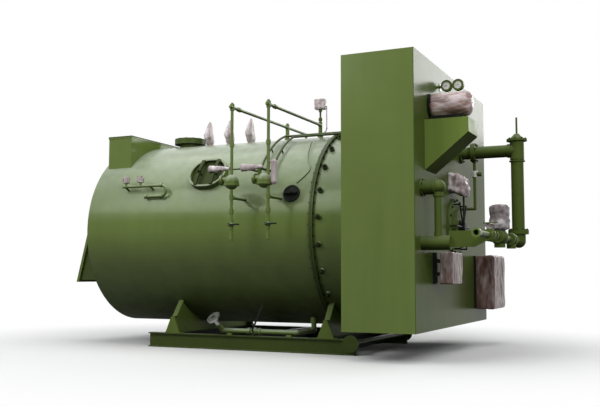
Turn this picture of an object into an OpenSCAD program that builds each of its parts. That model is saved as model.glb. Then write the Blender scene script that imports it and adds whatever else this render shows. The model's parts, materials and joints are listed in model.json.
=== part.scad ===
// Packaged fire-tube water heater on a skid: a horizontal boiler shell with a rear
// smoke hood, a tall fan and burner casing at the front, and its valves and pipework.
// X runs along the shell axis toward the burner end, -Y is the side with the manhole,
// Z is up, and the origin lies on the ground under the middle of the skid.

/* [Skid] */
// Length of the two skid beams
skid_len = 2640; // [2400:10:3000]
// Height of a skid beam
beam_h = 168; // [140:2:220]
// Width of a skid beam's flanges
beam_w = 80; // [60:2:110]
// Thickness of a beam's web
beam_web = 10; // [6:1:16]
// Thickness of a beam's flanges
beam_flange = 12; // [8:1:18]
// Distance from the shell's middle plane to a beam's outer face
beam_out = 925; // [860:5:980]
// Radius of an anchor hole
anchor_r = 11; // [8:0.5:14]
// Distance from a beam's end to its anchor hole
anchor_inset = 150; // [100:5:250]
// Depth of a cross member along the skid
cross_w = 90; // [60:5:140]
// Outside radius of the tow bar
tow_bar_r = 30; // [20:1:34]
// Radius of the tow bar's end discs
tow_disc_r = 92; // [75:1:110]

/* [Shell] */
// Outside diameter of the shell
shell_d = 2245; // [2150:5:2340]
// Wall of the shell
shell_wall = 20; // [12:1:40]
// Length of the shell from its rear end to the flange ring
shell_len = 2990; // [2900:10:3200]
// Height of the shell's axis above the ground
axis_h = 1393; // [1370:1:1480]
// Overhang of the shell behind the skid
rear_overhang = 790; // [600:10:900]
// Length of the flange ring pair along the shell
ring_t = 44; // [30:2:70]
// Height of the flange ring above the shell
ring_proud = 38; // [25:1:60]
// Length of the front smoke barrel between ring and casing
barrel_len = 486; // [400:2:600]
// Thickness of the rear end plate
end_t = 22; // [14:1:40]

/* [Rear hood and flue] */
// Width of the rear hood
hood_w = 1508; // [1300:2:1640]
// Depth of the hood at its lower edge
hood_foot = 389; // [300:1:460]
// Depth of the hood at its crown
hood_crown = 117; // [60:1:160]
// Height of the hood's lower edge above the ground
hood_low = 784; // [700:2:900]
// Thickness of the hood's sloping cover
hood_cover_t = 38; // [20:1:50]
// Height of the hood's top above the ground
hood_top = 1850; // [1700:10:2000]
// Border by which the cover overlaps the hood
hood_lap = 26; // [10:1:50]
// Distance from the shell's rear end to the flue box
flue_from = 52; // [0:2:120]
// Length of the flue box along the shell
flue_len = 344; // [280:2:420]
// Width of the flue box across the shell
flue_w = 1600; // [1200:4:1680]
// Height of the flue box's top above the shell's crest
flue_rise = 59; // [40:1:150]
// Wall of the flue box
flue_wall = 8; // [5:1:14]
// Thickness of the flue box's cover
flue_cover_t = 14; // [8:1:25]

/* [Front casing] */
// Depth of the front casing along the shell
casing_depth = 770; // [700:5:900]
// Width of the front casing
casing_w = 3050; // [2900:10:3200]
// Height of the front casing
casing_h = 2800; // [2700:10:2900]
// Height of the casing's bottom above the ground
casing_low = 290; // [240:5:330]
// Thickness of the casing panels
panel_t = 8; // [5:1:14]

/* [Fan motor] */
// Distance from the middle plane to the motor's axis
motor_y = 973; // [900:1:1050]
// Radius of the motor's frame
motor_r = 112; // [90:1:130]
// Length of the motor with its end bells
motor_len = 400; // [340:5:440]
// Height of the motor's axis above its shelf
motor_up = 178; // [150:1:210]
// Width of the motor shelf
shelf_w = 394; // [340:2:460]
// Reach of the motor shelf from the front panel
shelf_reach = 448; // [400:2:520]
// Height of the motor shelf above the ground
shelf_h = 2426; // [2300:2:2500]
// Depth of the shelf's side plates at the front panel
shelf_drop = 516; // [400:2:600]
// Depth of the shelf's outer lip
shelf_lip = 150; // [100:2:200]
// Thickness of the shelf's plates
shelf_t = 10; // [6:1:16]

/* [Gas line] */
// Outside radius of the gas main
gas_r = 70.5; // [50:0.5:85]
// Distance from the middle plane to the gas main, toward the far side
gas_y = 300; // [200:5:400]
// Height of the gas main above the ground
gas_h = 2270; // [2200:5:2350]
// Distance from the front panel to the gas riser
gas_out = 648; // [600:2:720]
// Height of the gas train above the ground
train_h = 1240; // [1180:2:1300]
// Outside radius of the gas train's pipe
train_r = 30; // [24:0.5:38]
// Radius of the bore at the gas inlet
inlet_bore_r = 26; // [20:0.5:30]
// Length of the bore at the gas inlet
inlet_bore_len = 120; // [80:5:160]
// Distance from the middle plane to the gas inlet
inlet_y = 1780; // [1650:5:1850]

/* [Burner] */
// Radius of the burner's front plate
burner_r = 330; // [260:5:380]
// Thickness of the burner's front plate
burner_t = 24; // [14:1:40]
// Number of fuel rods round the burner gun
burner_rods = 6; // [4:1:12]

/* [Shell fittings] */
// Radius of the water outlet's flange
outlet_r = 203; // [180:1:230]
// Thickness of each flange of the water outlet
outlet_t = 36; // [25:1:45]
// Radius of the water outlet's bolt circle
outlet_pcr = 181; // [160:1:205]
// Radius of a bolt hole in the water outlet
outlet_hole_r = 12.7; // [10:0.1:15]
// Number of bolt holes in the water outlet
outlet_holes = 12; // [8:4:16]
// Outside radius of the water outlet's neck
outlet_neck_r = 136.5; // [110:0.5:150]
// Half length of the manhole ring along the shell
manhole_a = 245; // [215:1:260]
// Half width of the manhole ring round the shell
manhole_b = 208; // [180:1:214]
// Angle of the manhole above the horizontal
manhole_deg = 33.7; // [28:0.1:40]
// Radius of the handhole's ring
handhole_r = 98; // [80:1:110]
// Angle of the handhole above the horizontal
handhole_deg = 18; // [14:0.5:22]
// Height of a safety valve above the shell's crest
safety_h = 328; // [260:2:380]

/* [Water columns] */
// Distance from the middle plane to the water columns
column_y = 1392; // [1360:2:1440]
// Outside radius of the column pipes
column_r = 16.7; // [13:0.1:20]
// Height of the columns' top run above the ground
column_top = 2686; // [2650:1:2760]
// Height of the columns' lower ends above the ground
column_end = 1220; // [1150:2:1280]
// Height of the float chambers above the ground
float_h = 1860; // [1800:2:1920]
// Radius of a float chamber
float_r = 82; // [65:1:95]
// Height of the columns' drain valves above the ground
drain_h = 1393; // [1340:1:1450]
// Length of a drain valve's lever
drain_lever_len = 120; // [80:2:160]

/* [Blowdown line] */
// Outside radius of the blowdown pipe
blow_r = 30.2; // [24:0.1:38]
// Radius of the blowdown pipe's end flange
blow_flange_r = 82.5; // [70:0.5:95]
// Length of the blowdown valve's lever
blow_lever_len = 320; // [240:5:400]
// Angle of the lever from the pipe as it stands
blow_lever_deg = 65; // [50:1:80]

/* [Hidden] */
$fn = 64;
// Sides of a circle as large as the shell
shell_fn = 480;
// Sides of a long round conduit
arc_fn = 240;
// Clearance between a fitting and the curved wall that carries it
seat = 0.4;
// Running clearance of a lever on its stem
run = 0.3;
// Length by which every cut passes the faces that it opens
over = 5;

green = "#6e7c46";
dark_green = "#3f4a2c";
black = "#26282a";
steel = "#a8a9a6";
film = "#a58b80";
white = "#e6e6e0";

shell_r = shell_d / 2;
crest = axis_h + shell_r;
shell_x = -skid_len / 2 - rear_overhang;
ring_x = shell_x + shell_len;
barrel_x = ring_x + ring_t;
casing_x = barrel_x + barrel_len;
face_x = casing_x + casing_depth;
casing_top = casing_low + casing_h;
gas_x = face_x + gas_out;

// Places along the shell, from its rear end
outlet_from = 752;
safety_from = 1053;
safety_pitch = 304;
manhole_from = 1616;
column_from = 2178;
column_pitch = 449;
handhole_past_column = 125;
saddle_inset = 340;
outlet_x = shell_x + outlet_from;
safety_xs = [for (k = [0 : 2]) shell_x + safety_from + k * safety_pitch];
manhole_x = shell_x + manhole_from;
column_xs = [for (k = [0, 1]) shell_x + column_from + k * column_pitch];
handhole_x = column_xs[1] + handhole_past_column;
saddle_xs = [for (s = [-1, 1]) s * (skid_len / 2 - saddle_inset)];

// Welded pipe bends and couplings
bend_share = 1.5;
coupling_share = 1.5;
elbow_share = 1.12;

// Round bars along the three axes, from a start point
module bar_x(x, y, z, r, l) {
  translate([x, y, z]) rotate([0, 90, 0]) cylinder(r = r, h = l);
}

module bar_y(x, y, z, r, l) {
  translate([x, y, z]) rotate([-90, 0, 0]) cylinder(r = r, h = l);
}

module bar_z(x, y, z, r, l) {
  translate([x, y, z]) cylinder(r = r, h = l);
}

// A block given by its low corner and its size
module block(x, y, z, l, w, h) {
  translate([x, y, z]) cube([l, w, h]);
}

// Local Z points out of the shell at an angle above the horizontal on the near side
module on_shell(x, deg) {
  translate([x, 0, axis_h]) rotate([90 - deg, 0, 0]) children();
}

// A round bar on the shell's axis
module axis_bar(x, r, l) {
  translate([x, 0, axis_h]) rotate([0, 90, 0]) cylinder(r = r, h = l, $fn = shell_fn);
}

// The shell's outside as a cutter for fittings that sit on it
module shell_cut(x, l) {
  axis_bar(x - l, shell_r + seat, l + l);
}

// A flat profile in the X-Z plane, drawn from y to y + w
module side_profile(y, w, points) {
  translate([0, y + w, 0]) rotate([90, 0, 0]) linear_extrude(w) polygon(points);
}

// A flat profile in the Y-Z plane, drawn from x to x + l
module cross_profile(x, l, points) {
  translate([x, 0, 0]) rotate([90, 0, 90]) linear_extrude(l) polygon(points);
}

/* Skid */

tow_disc_t = 18;
tow_bar_h = 122;
tow_inset = 44;
tow_x = skid_len / 2 - tow_inset;

// An I-beam with anchor holes in the outer half of its foot and a hole in its web for the tow bar
module beam() {
  mid = -beam_out + beam_w / 2;
  anchor_y = -beam_out + (beam_w - beam_web) / 4;
  difference() {
    block(-skid_len / 2, -beam_out, 0, skid_len, beam_w, beam_h);
    for (s = [-1, 1]) {
      block(-skid_len / 2 - over, mid + s * (beam_w + beam_web) / 2 - beam_w / 2, beam_flange,
        skid_len + over + over, beam_w, beam_h - beam_flange - beam_flange);
      bar_z(s * (skid_len / 2 - anchor_inset), anchor_y, -over, anchor_r, beam_flange + over + over);
    }
    bar_y(tow_x, -beam_out - over, tow_bar_h, tow_bar_r + seat, beam_w + over + over);
  }
}

module skid_beams() {
  color(green) {
    beam();
    mirror([0, 1, 0]) beam();
  }
}

// Cross members stand between the flange tips of the two beams
module cross_member(x) {
  half = beam_out - beam_w;
  difference() {
    block(x - cross_w / 2, -half, 0, cross_w, half + half, beam_h);
    for (s = [-1, 1])
      block(x + s * (cross_w / 2 + beam_web / 2) - cross_w / 2, -half - over, beam_flange,
        cross_w, half + half + over + over, beam_h - beam_flange - beam_flange);
  }
}

module skid_cross_members() {
  color(black) for (x = [saddle_xs[0], 0, saddle_xs[1]]) cross_member(x);
}

// A round bar through the front ends of both beams, with a disc at each outer end
module tow_bar() {
  half = beam_out;
  color(green) {
    bar_y(tow_x, -half, tow_bar_h, tow_bar_r, half + half);
    for (s = [-1, 1])
      bar_y(tow_x, s * half - (1 - s) / 2 * tow_disc_t, tow_bar_h, tow_disc_r, tow_disc_t);
  }
}

/* Saddles */

saddle_t = 20;
wing_w = 62;
wing_t = 16;
gusset_w = 195;
gusset_t = 12;
foot_t = 10;
foot_l = 215;
wing_top_share = 0.66;
wing_in_share = 0.2;
wing_out = 140;
wing_drop = 184;

function shell_under(y) = axis_h - sqrt(pow(shell_r + seat, 2) - pow(y, 2));

// A saddle plate with inclined wing flanges, foot plates and outer gussets
module saddle(x) {
  y_top = shell_r * wing_top_share;
  z_top = shell_under(y_top);
  y_low = y_top + wing_out;
  z_low = z_top - wing_drop;
  y_in = y_top - wing_out * wing_in_share;
  z_in = z_top + wing_drop * wing_in_share;
  wing_dy = wing_t * wing_drop / norm([wing_out, wing_drop]);
  wing_dz = wing_t * wing_out / norm([wing_out, wing_drop]);
  y_edge = beam_out - gusset_t / 2;
  z_edge = z_low - wing_t;
  y_mid = y_low - wing_dy / 2;
  z_mid = z_low - wing_dz / 2;
  y_neck = y_in - wing_dy / 2;
  difference() {
    union() {
      cross_profile(x - saddle_t / 2, saddle_t, [
        [-y_edge, beam_h], [y_edge, beam_h], [y_edge, z_edge], [y_mid, z_mid],
        [y_neck, z_in], [y_neck, axis_h], [-y_neck, axis_h], [-y_neck, z_in],
        [-y_mid, z_mid], [-y_edge, z_edge]]);
      for (s = [-1, 1]) {
        cross_profile(x - wing_w / 2, wing_w, [
          [s * y_low, z_low], [s * y_in, z_in],
          [s * (y_in - wing_dy), z_in - wing_dz], [s * (y_low - wing_dy), z_low - wing_dz]]);
        block(x - foot_l / 2, s * (beam_out - beam_w / 2) - beam_w / 2, beam_h, foot_l, beam_w, foot_t);
        side_profile(s * y_edge - gusset_t / 2, gusset_t, [
          [x - gusset_w / 2, beam_h + foot_t / 2], [x + gusset_w / 2, beam_h + foot_t / 2],
          [x + saddle_t, z_low], [x - saddle_t, z_low]]);
      }
    }
    shell_cut(x, foot_l);
  }
}

module saddles() {
  color(green) for (x = saddle_xs) saddle(x);
}

/* Shell and ends */

// A round through hole in the shell wall
module shell_hole(x, deg, r) {
  on_shell(x, deg) translate([0, 0, shell_r / 2]) cylinder(r = r, h = shell_r);
}

// An oval built from two circles and the square between them
module oval(a, b) {
  for (s = [-1, 1]) translate([s * (a - b), 0]) circle(r = b);
  square([a + a - b - b, b + b], center = true);
}

manhole_wall = 24;
module shell() {
  color(green) difference() {
    axis_bar(shell_x, shell_r, shell_len);
    axis_bar(shell_x - over, shell_r - shell_wall, shell_len + over + over);
    shell_hole(outlet_x, 90, outlet_neck_r - outlet_wall);
    on_shell(manhole_x, manhole_deg) translate([0, 0, shell_r / 2]) linear_extrude(shell_r)
      oval(manhole_a - manhole_wall, manhole_b - manhole_wall);
  }
}

module rear_end_plate() {
  color(green) axis_bar(shell_x, shell_r - shell_wall - seat, end_t);
}

// Two bolted rings with a gasket groove between them
ring_groove = 4;
module flange_ring() {
  color(dark_green) difference() {
    axis_bar(ring_x, shell_r + ring_proud, ring_t);
    axis_bar(ring_x - over, shell_r - shell_wall, ring_t + over + over);
    difference() {
      axis_bar(ring_x + ring_t / 2 - ring_groove / 2, shell_r + ring_proud + over, ring_groove);
      axis_bar(ring_x, shell_r + ring_proud - ring_groove - ring_groove, ring_t);
    }
  }
}

boss_r = 30;
boss_h = 30;
boss_from = 61;
boss_count = 24;
boss_first = 4;
boss_low_share = -0.7;
boss_degs = [for (k = [0 : boss_count - 1]) boss_first + k * 360 / boss_count];

// The barrel carries a row of stud bosses in front of the ring, down to the saddle
module front_barrel() {
  color(green) {
    difference() {
      axis_bar(barrel_x, shell_r, barrel_len);
      axis_bar(barrel_x - over, shell_r - shell_wall, barrel_len + over + over);
    }
    for (deg = boss_degs)
      if (sin(deg) > boss_low_share)
        on_shell(barrel_x + boss_from, deg)
          translate([0, 0, shell_r - shell_wall / 2]) cylinder(r = boss_r, h = shell_wall / 2 + boss_h);
  }
}

/* Rear hood and flue */

function hood_depth(z) = hood_foot + (hood_crown - hood_foot) * (z - hood_low) / (hood_top - hood_low);

// The hood's wedge on the shell end, deepest at its foot
module rear_hood() {
  color(dark_green) side_profile(-hood_w / 2, hood_w, [
    [shell_x, hood_low], [shell_x - hood_foot, hood_low],
    [shell_x - hood_crown, hood_top], [shell_x, hood_top]]);
}

// A flat cover that lies on the hood's slope
module rear_hood_cover() {
  low = hood_low - hood_lap;
  high = hood_top + hood_lap;
  x_low = shell_x - seat - hood_depth(low);
  x_high = shell_x - seat - hood_depth(high);
  color(green) side_profile(-hood_w / 2 - hood_lap, hood_w + hood_lap + hood_lap, [
    [x_low, low], [x_low - hood_cover_t, low], [x_high - hood_cover_t, high], [x_high, high]]);
}

flue_top = crest + flue_rise;
flue_rim = 6;
module flue_box() {
  x = shell_x + flue_from;
  color(green) difference() {
    union() {
      block(x, -flue_w / 2, axis_h, flue_len, flue_w, flue_top - axis_h);
      block(x - flue_rim, -flue_w / 2 - flue_rim, flue_top - flue_cover_t,
        flue_len + flue_rim + flue_rim, flue_w + flue_rim + flue_rim, flue_cover_t);
    }
    block(x + flue_wall, -flue_w / 2 + flue_wall, axis_h - over,
      flue_len - flue_wall - flue_wall, flue_w - flue_wall - flue_wall, flue_top);
    shell_cut(x + flue_len / 2, flue_len * 2);
  }
}

module flue_cover() {
  color(dark_green) block(shell_x + flue_from - flue_rim, -flue_w / 2 - flue_rim, flue_top,
    flue_len + flue_rim + flue_rim, flue_w + flue_rim + flue_rim, flue_cover_t);
}

/* Front casing */

module casing_back() {
  color(green) difference() {
    block(casing_x, -casing_w / 2, casing_low, panel_t, casing_w, casing_h);
    axis_bar(casing_x - over, shell_r - shell_wall, panel_t + over + over);
  }
}

module casing_sides() {
  l = casing_depth - panel_t - panel_t;
  color(green) for (y = [-casing_w / 2, casing_w / 2 - panel_t])
    block(casing_x + panel_t, y, casing_low, l, panel_t, casing_h);
}

module casing_top_bottom() {
  l = casing_depth - panel_t - panel_t;
  w = casing_w - panel_t - panel_t;
  color(green) for (z = [casing_low, casing_top - panel_t])
    block(casing_x + panel_t, -w / 2, z, l, w, panel_t);
}

module front_panel() {
  color(green) block(face_x - panel_t, -casing_w / 2, casing_low, panel_t, casing_w, casing_h);
}

/* Fan motor on its shelf */

module motor_shelf() {
  y = -motor_y - shelf_w / 2;
  color(green) {
    block(face_x, y, shelf_h - shelf_t, shelf_reach, shelf_w, shelf_t);
    block(face_x + shelf_reach - shelf_t, y, shelf_h - shelf_lip, shelf_t, shelf_w, shelf_lip);
    for (v = [y, y + shelf_w - shelf_t])
      side_profile(v, shelf_t, [
        [face_x, shelf_h], [face_x + shelf_reach, shelf_h],
        [face_x + shelf_reach, shelf_h - shelf_lip], [face_x, shelf_h - shelf_drop]]);
    side_profile(y, shelf_w, [
      [face_x, shelf_h - shelf_drop], [face_x + shelf_reach, shelf_h - shelf_lip],
      [face_x + shelf_reach, shelf_h - shelf_lip + shelf_t], [face_x, shelf_h - shelf_drop + shelf_t]]);
  }
}

motor_gap = 24;
motor_bell = 46;
motor_fin = 10;
motor_fin_t = 5;
motor_fins = 24;
motor_foot_t = 14;
motor_foot_w = 60;
motor_leg = 150;
motor_box = 100;

// A disc between the front panel and the motor
module motor_flange() {
  color(black) bar_x(face_x, -motor_y, shelf_h + motor_up, motor_r + motor_fin, motor_gap - seat);
}

// A finned motor with end bells, feet and a terminal box on top
module fan_motor() {
  x = face_x + motor_gap;
  z = shelf_h + motor_up;
  core_r = motor_r - motor_fin;
  core_in = motor_bell * 3 / 4;
  core_len = motor_len - core_in * 2;
  foot_y = motor_r * sin(45);
  color(film) {
    bar_x(x, -motor_y, z, core_r - motor_fin, motor_len);
    bar_x(x + core_in, -motor_y, z, core_r, core_len);
    for (e = [x + motor_bell / 2, x + motor_len - motor_bell])
      bar_x(e, -motor_y, z, motor_r, motor_bell / 2);
    for (k = [0 : motor_fins - 1])
      translate([x + core_in, -motor_y, z]) rotate([(k + 0.5) * 360 / motor_fins, 0, 0])
        translate([0, -motor_fin_t / 2, core_r / 2])
          cube([core_len, motor_fin_t, motor_r - motor_fin_t - core_r / 2]);
    for (s = [-1, 1])
      block(x + motor_bell * 2, -motor_y + s * foot_y - motor_foot_w / 2, shelf_h,
        motor_len - motor_bell * 4, motor_foot_w, motor_foot_t);
    block(x + motor_len / 2 - motor_leg / 2, -motor_y - foot_y, shelf_h + motor_foot_t / 2,
      motor_leg, foot_y * 2, motor_up - core_r / 2);
    block(x + motor_len / 2 - motor_box / 2, -motor_y - motor_box / 2, z + core_r / 2, motor_box, motor_box,
      motor_r + motor_box / 4 - core_r / 2);
  }
}

/* Dial gauges */

gauge_y = 600;
gauge_h = 2877;
gauge_r = 62;
gauge_t = 44;
gauge_face_r = 42;
gauge_sink = 8;
gauge_first = 89;
gauge_pitch = 125;
gauge_plate_t = 6;
gauge_bar_h = 30;
gauge_foot_h = 80;

module gauge_bracket() {
  color(green) {
    block(face_x, -gauge_y, gauge_h - gauge_bar_h / 2, gauge_first + gauge_pitch, gauge_plate_t, gauge_bar_h);
    block(face_x, -gauge_y, gauge_h - gauge_foot_h / 2, gauge_plate_t, gauge_r, gauge_foot_h);
  }
}

// Dials face the near side; each has a raised bezel round a sunk face
module dial_gauges() {
  color(white) for (x = [for (k = [0, 1]) face_x + gauge_first + k * gauge_pitch])
    difference() {
      bar_y(x, -gauge_y - gauge_t, gauge_h, gauge_r, gauge_t);
      bar_y(x, -gauge_y - gauge_t - over, gauge_h, gauge_face_r, over + gauge_sink);
    }
}

/* Gas line */

flange_share = 1.62;
gas_flange_t = 24;
gas_flange_out = 157;
gas_riser_low = 1340;
gas_vent_r = 11;
gas_vent_len = 190;
gas_cap_t = 60;

// A flange pair along X
module flange_pair_x(x, y, z, r) {
  bar_x(x - gas_flange_t, y, z, r * flange_share, gas_flange_t);
  bar_x(x + seat, y, z, r * flange_share, gas_flange_t);
  bar_x(x - gas_flange_t, y, z, r * flange_share - gas_flange_t, gas_flange_t * 2);
}

// The main leaves the casing, meets a tee with a vented cap and drops as the riser
module gas_main() {
  color(green) {
    bar_x(face_x, gas_y, gas_h, gas_r, gas_out);
    bar_x(face_x, gas_y, gas_h, gas_r * flange_share, gas_flange_t);
    flange_pair_x(face_x + gas_flange_out, gas_y, gas_h, gas_r);
    bar_x(gas_x - gas_r * bend_share, gas_y, gas_h, gas_r * 1.12, gas_r * bend_share);
    bar_z(gas_x, gas_y, gas_riser_low, gas_r, gas_h - gas_riser_low);
    bar_z(gas_x, gas_y, gas_h - gas_r * bend_share, gas_r * 1.12, gas_r * bend_share * 2);
    bar_z(gas_x, gas_y, gas_h + gas_r * bend_share, gas_r * flange_share, gas_flange_t);
    translate([gas_x, gas_y, gas_h + gas_r * bend_share + gas_flange_t])
      cylinder(r1 = gas_r * 1.2, r2 = gas_r * 0.4, h = gas_cap_t);
    bar_z(gas_x, gas_y, gas_h + gas_r * bend_share + gas_flange_t, gas_vent_r,
      gas_vent_len + gas_cap_t);
    bar_z(gas_x, gas_y, gas_h - gas_r * bend_share - gas_flange_t, gas_r * 1.25, gas_flange_t / 2);
    bar_z(gas_x, gas_y, gas_riser_low, gas_r * flange_share, gas_flange_t);
  }
}

// Places along the train, from the inlet
valve_body_r = 70;
valve_body_len = 190;
reg_from_inlet = 1040;
strainer_from_inlet = 1640;
shut_from_inlet = 620;

// A valve body along Y with a flange at each end
module valve_body(y, r, l) {
  t = gas_flange_t * 0.75;
  bar_y(gas_x, y - l / 2, train_h, train_r * 2.1, t);
  bar_y(gas_x, y + l / 2 - t, train_h, train_r * 2.1, t);
  translate([gas_x, y, train_h]) sphere(r = r);
}

module gas_train() {
  y0 = -inlet_y;
  elbow = gas_r * elbow_share;
  color(green) difference() {
    union() {
      bar_y(gas_x, y0 + inlet_bore_len, train_h, train_r, inlet_y + gas_y - inlet_bore_len);
      valve_body(y0 + shut_from_inlet, valve_body_r * 0.8, valve_body_len * 0.8);
      bar_z(gas_x, y0 + shut_from_inlet, train_h, train_r * 0.5, valve_body_r * 1.6);
      bar_z(gas_x, y0 + shut_from_inlet, train_h + valve_body_r * 1.6, valve_body_r, gas_flange_t / 2);
      valve_body(y0 + reg_from_inlet, valve_body_r * 1.25, valve_body_len * 1.2);
      bar_z(gas_x, y0 + reg_from_inlet, train_h - valve_body_r * 1.5, valve_body_r * 0.8, valve_body_r);
      valve_body(y0 + strainer_from_inlet, valve_body_r, valve_body_len);
      bar_z(gas_x, y0 + strainer_from_inlet, train_h - valve_body_r * 1.4, valve_body_r * 0.7, valve_body_r);
      translate([gas_x, gas_y, train_h]) sphere(r = elbow);
      bar_z(gas_x, gas_y, train_h, elbow, gas_riser_low - train_h);
      bar_z(gas_x, gas_y, gas_riser_low - gas_flange_t, gas_r * flange_share, gas_flange_t);
    }
    bar_z(gas_x, -inlet_y + reg_from_inlet, train_h + valve_body_r, valve_body_r * 2, gas_r * 4);
  }
}

// The open nipple at the train's near end, with a threaded collar
module gas_inlet() {
  color(green) difference() {
    union() {
      bar_y(gas_x, -inlet_y, train_h, train_r, inlet_bore_len);
      bar_y(gas_x, -inlet_y, train_h, train_r * 1.45, gas_flange_t * 1.5);
    }
    bar_y(gas_x, -inlet_y - over, train_h, inlet_bore_r, inlet_bore_len + over + over);
  }
}

reg_case_r = 92;
reg_case_h = 215;
reg_neck_r = 34;

// The regulator's actuator: a neck, a round case and a cap
module gas_regulator() {
  y = -inlet_y + reg_from_inlet;
  z = train_h + valve_body_r;
  color(film) {
    bar_z(gas_x, y, z, reg_neck_r, reg_neck_r);
    bar_z(gas_x, y, z + reg_neck_r / 2, reg_case_r, reg_case_h);
    bar_z(gas_x, y, z + reg_case_h / 2, reg_case_r * 0.7, reg_case_h / 2 + reg_neck_r);
  }
}

pilot_r = 17;
pilot_out = 160;
pilot_low = 1620;
pilot_valve_h = 2020;

// A small line from the gas main down to the burner, with a solenoid valve
module pilot_line() {
  x = face_x + pilot_out;
  z0 = pilot_low;
  color(green) difference() {
    union() {
      bar_z(x, gas_y, z0, pilot_r, gas_h - z0);
      translate([x, gas_y, z0]) sphere(r = pilot_r);
      bar_x(face_x, gas_y, z0, pilot_r, pilot_out);
      bar_x(face_x, gas_y, z0, pilot_r * 2, pilot_r);
      bar_z(x, gas_y, pilot_valve_h - pilot_r * 2, pilot_r * 1.8, pilot_r * 4);
      bar_x(x, gas_y, pilot_valve_h, pilot_r * 1.5, pilot_r * 5);
    }
    bar_x(face_x + pilot_out / 4, gas_y, gas_h, gas_r * flange_share + seat, pilot_out * 2);
  }
}

support_y = 1290;
support_arm_h = 1170;
support_arm_r = 72;
support_arm_len = 290;
support_len = 520;
support_low = 1125;
support_top = 1285;
support_t = 12;
support_eye = 22;

// A round arm with a plate at its end, whose eye carries the train's pipe
module train_support() {
  eye_r = train_r + support_eye;
  x0 = face_x + support_arm_len - support_eye;
  x1 = face_x + support_len;
  color(green) {
    bar_x(face_x, -support_y, support_arm_h, support_arm_r, support_arm_len);
    translate([0, -support_y + support_t / 2, 0]) rotate([90, 0, 0]) linear_extrude(support_t) difference() {
      union() {
        polygon([[x0, support_low], [x1, support_low], [gas_x, train_h - eye_r],
          [gas_x, train_h + eye_r], [x1, support_top], [x0, support_top]]);
        translate([gas_x, train_h]) circle(r = eye_r);
      }
      translate([gas_x, train_h]) circle(r = train_r + seat);
    }
  }
}

/* Burner */

hub_r = 78;
hub_len = 52;
nose_len = 44;
rod_r = 9;
rod_out = 60;
tube_r = 8;
tube_out = 82;
tube_ys = [-34, -6];

module burner_front() {
  color(green) difference() {
    union() {
      bar_x(face_x, 0, axis_h, burner_r, burner_t);
      bar_x(face_x, 0, axis_h, burner_r * 0.6, burner_t * 2.5);
    }
    bar_x(face_x + burner_t, 0, axis_h, hub_r + seat, burner_t * 2);
  }
}

// The gun's hub, with rods to the rim of the front plate and two tubes up to the actuator
module burner_gun() {
  x = face_x + burner_t;
  tip = burner_r * 0.86;
  color(black) {
    bar_x(x, 0, axis_h, hub_r, hub_len);
    bar_x(x + hub_len - over, 0, axis_h, hub_r * 0.6, nose_len + over);
    for (k = [0 : burner_rods - 1])
      translate([0, 0, axis_h]) rotate([(k + 0.5) * 360 / burner_rods, 0, 0]) {
        bar_z(x + rod_out + rod_r, 0, hub_r / 2, rod_r, tip - hub_r / 2);
        translate([x + rod_out + rod_r, 0, tip]) sphere(r = rod_r);
        bar_x(x, 0, tip, rod_r, rod_out + rod_r);
      }
    for (y = tube_ys)
      bar_z(x + tube_out, y, axis_h, tube_r, actuator_h - actuator_tall / 2 - seat - axis_h);
  }
}

actuator_h = 1860;
actuator_tall = 230;
actuator_w = 280;
actuator_d = 180;
actuator_y = -60;
actuator_near = 190;
actuator_cap = 36;
module burner_actuator() {
  z = actuator_h - actuator_tall / 2;
  y = actuator_y - actuator_near + actuator_w / 2;
  color(film) {
    block(face_x, actuator_y - actuator_near, z, actuator_d, actuator_w, actuator_tall);
    bar_x(face_x + actuator_d, y, actuator_h, actuator_cap, actuator_cap);
    bar_z(face_x + actuator_d / 2, y, actuator_h + actuator_tall / 2, actuator_cap, actuator_cap);
  }
}

/* Bypass pipe */

bypass_r = 38;
bypass_stub_r = 74;
bypass_out = 166;
bypass_h = 1722;
bypass_flange_t = 18;

// A wide stub from the front panel, with an elbow and a pipe that drops onto the support's arm
module bypass_pipe() {
  x = face_x + bypass_out;
  color(green) difference() {
    union() {
      bar_x(face_x, -support_y, bypass_h, bypass_stub_r, bypass_out);
      bar_x(face_x, -support_y, bypass_h, bypass_stub_r * 1.2, bypass_flange_t);
      bar_x(x - bypass_r, -support_y, bypass_h, bypass_stub_r * 1.15, bypass_flange_t);
      translate([x, -support_y, bypass_h]) sphere(r = bypass_stub_r);
      bar_z(x, -support_y, support_arm_h, bypass_r, bypass_h - support_arm_h);
      bar_z(x, -support_y, bypass_h - bypass_stub_r * 1.3, bypass_r * 1.35, bypass_stub_r);
      bar_z(x, -support_y, support_arm_h, bypass_r * 1.12, support_arm_r * 1.5);
    }
    bar_x(face_x, -support_y, support_arm_h, support_arm_r + seat, support_arm_len);
    bar_z(x, -support_y, support_arm_h - support_arm_r * 2, bypass_r * 2, support_arm_r * 2);
  }
}

/* Control boxes on the front panel */

jbox_y = 929;
jbox_w = 410;
jbox_l = 126;
jbox_h = 320;
jbox_z = 765;
jbox_off = 76;
jbox_arm = 38;
module junction_box() {
  color(film) block(face_x + jbox_off, -jbox_y, jbox_z, jbox_l, jbox_w, jbox_h);
}

// A post on the front panel with two arms that carry the junction box
module junction_bracket() {
  y = -jbox_y;
  color(black) {
    block(face_x, y, jbox_z, jbox_arm, jbox_arm, jbox_h);
    for (z = [jbox_z + jbox_h / 4, jbox_z + jbox_h * 2 / 3])
      block(face_x, y, z, jbox_off, jbox_arm, jbox_arm);
  }
}

cabinet_y = 864;
cabinet_w = 640;
cabinet_l = 214;
cabinet_h = 640;
cabinet_z = 450;
cabinet_off = 28;

// Two channels on the front panel that carry the cabinet
module cabinet_back() {
  w = cabinet_off * 3;
  color(black) for (y = [cabinet_y, cabinet_y + cabinet_w - w])
    block(face_x, y, cabinet_z, cabinet_off, w, cabinet_h);
}

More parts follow.
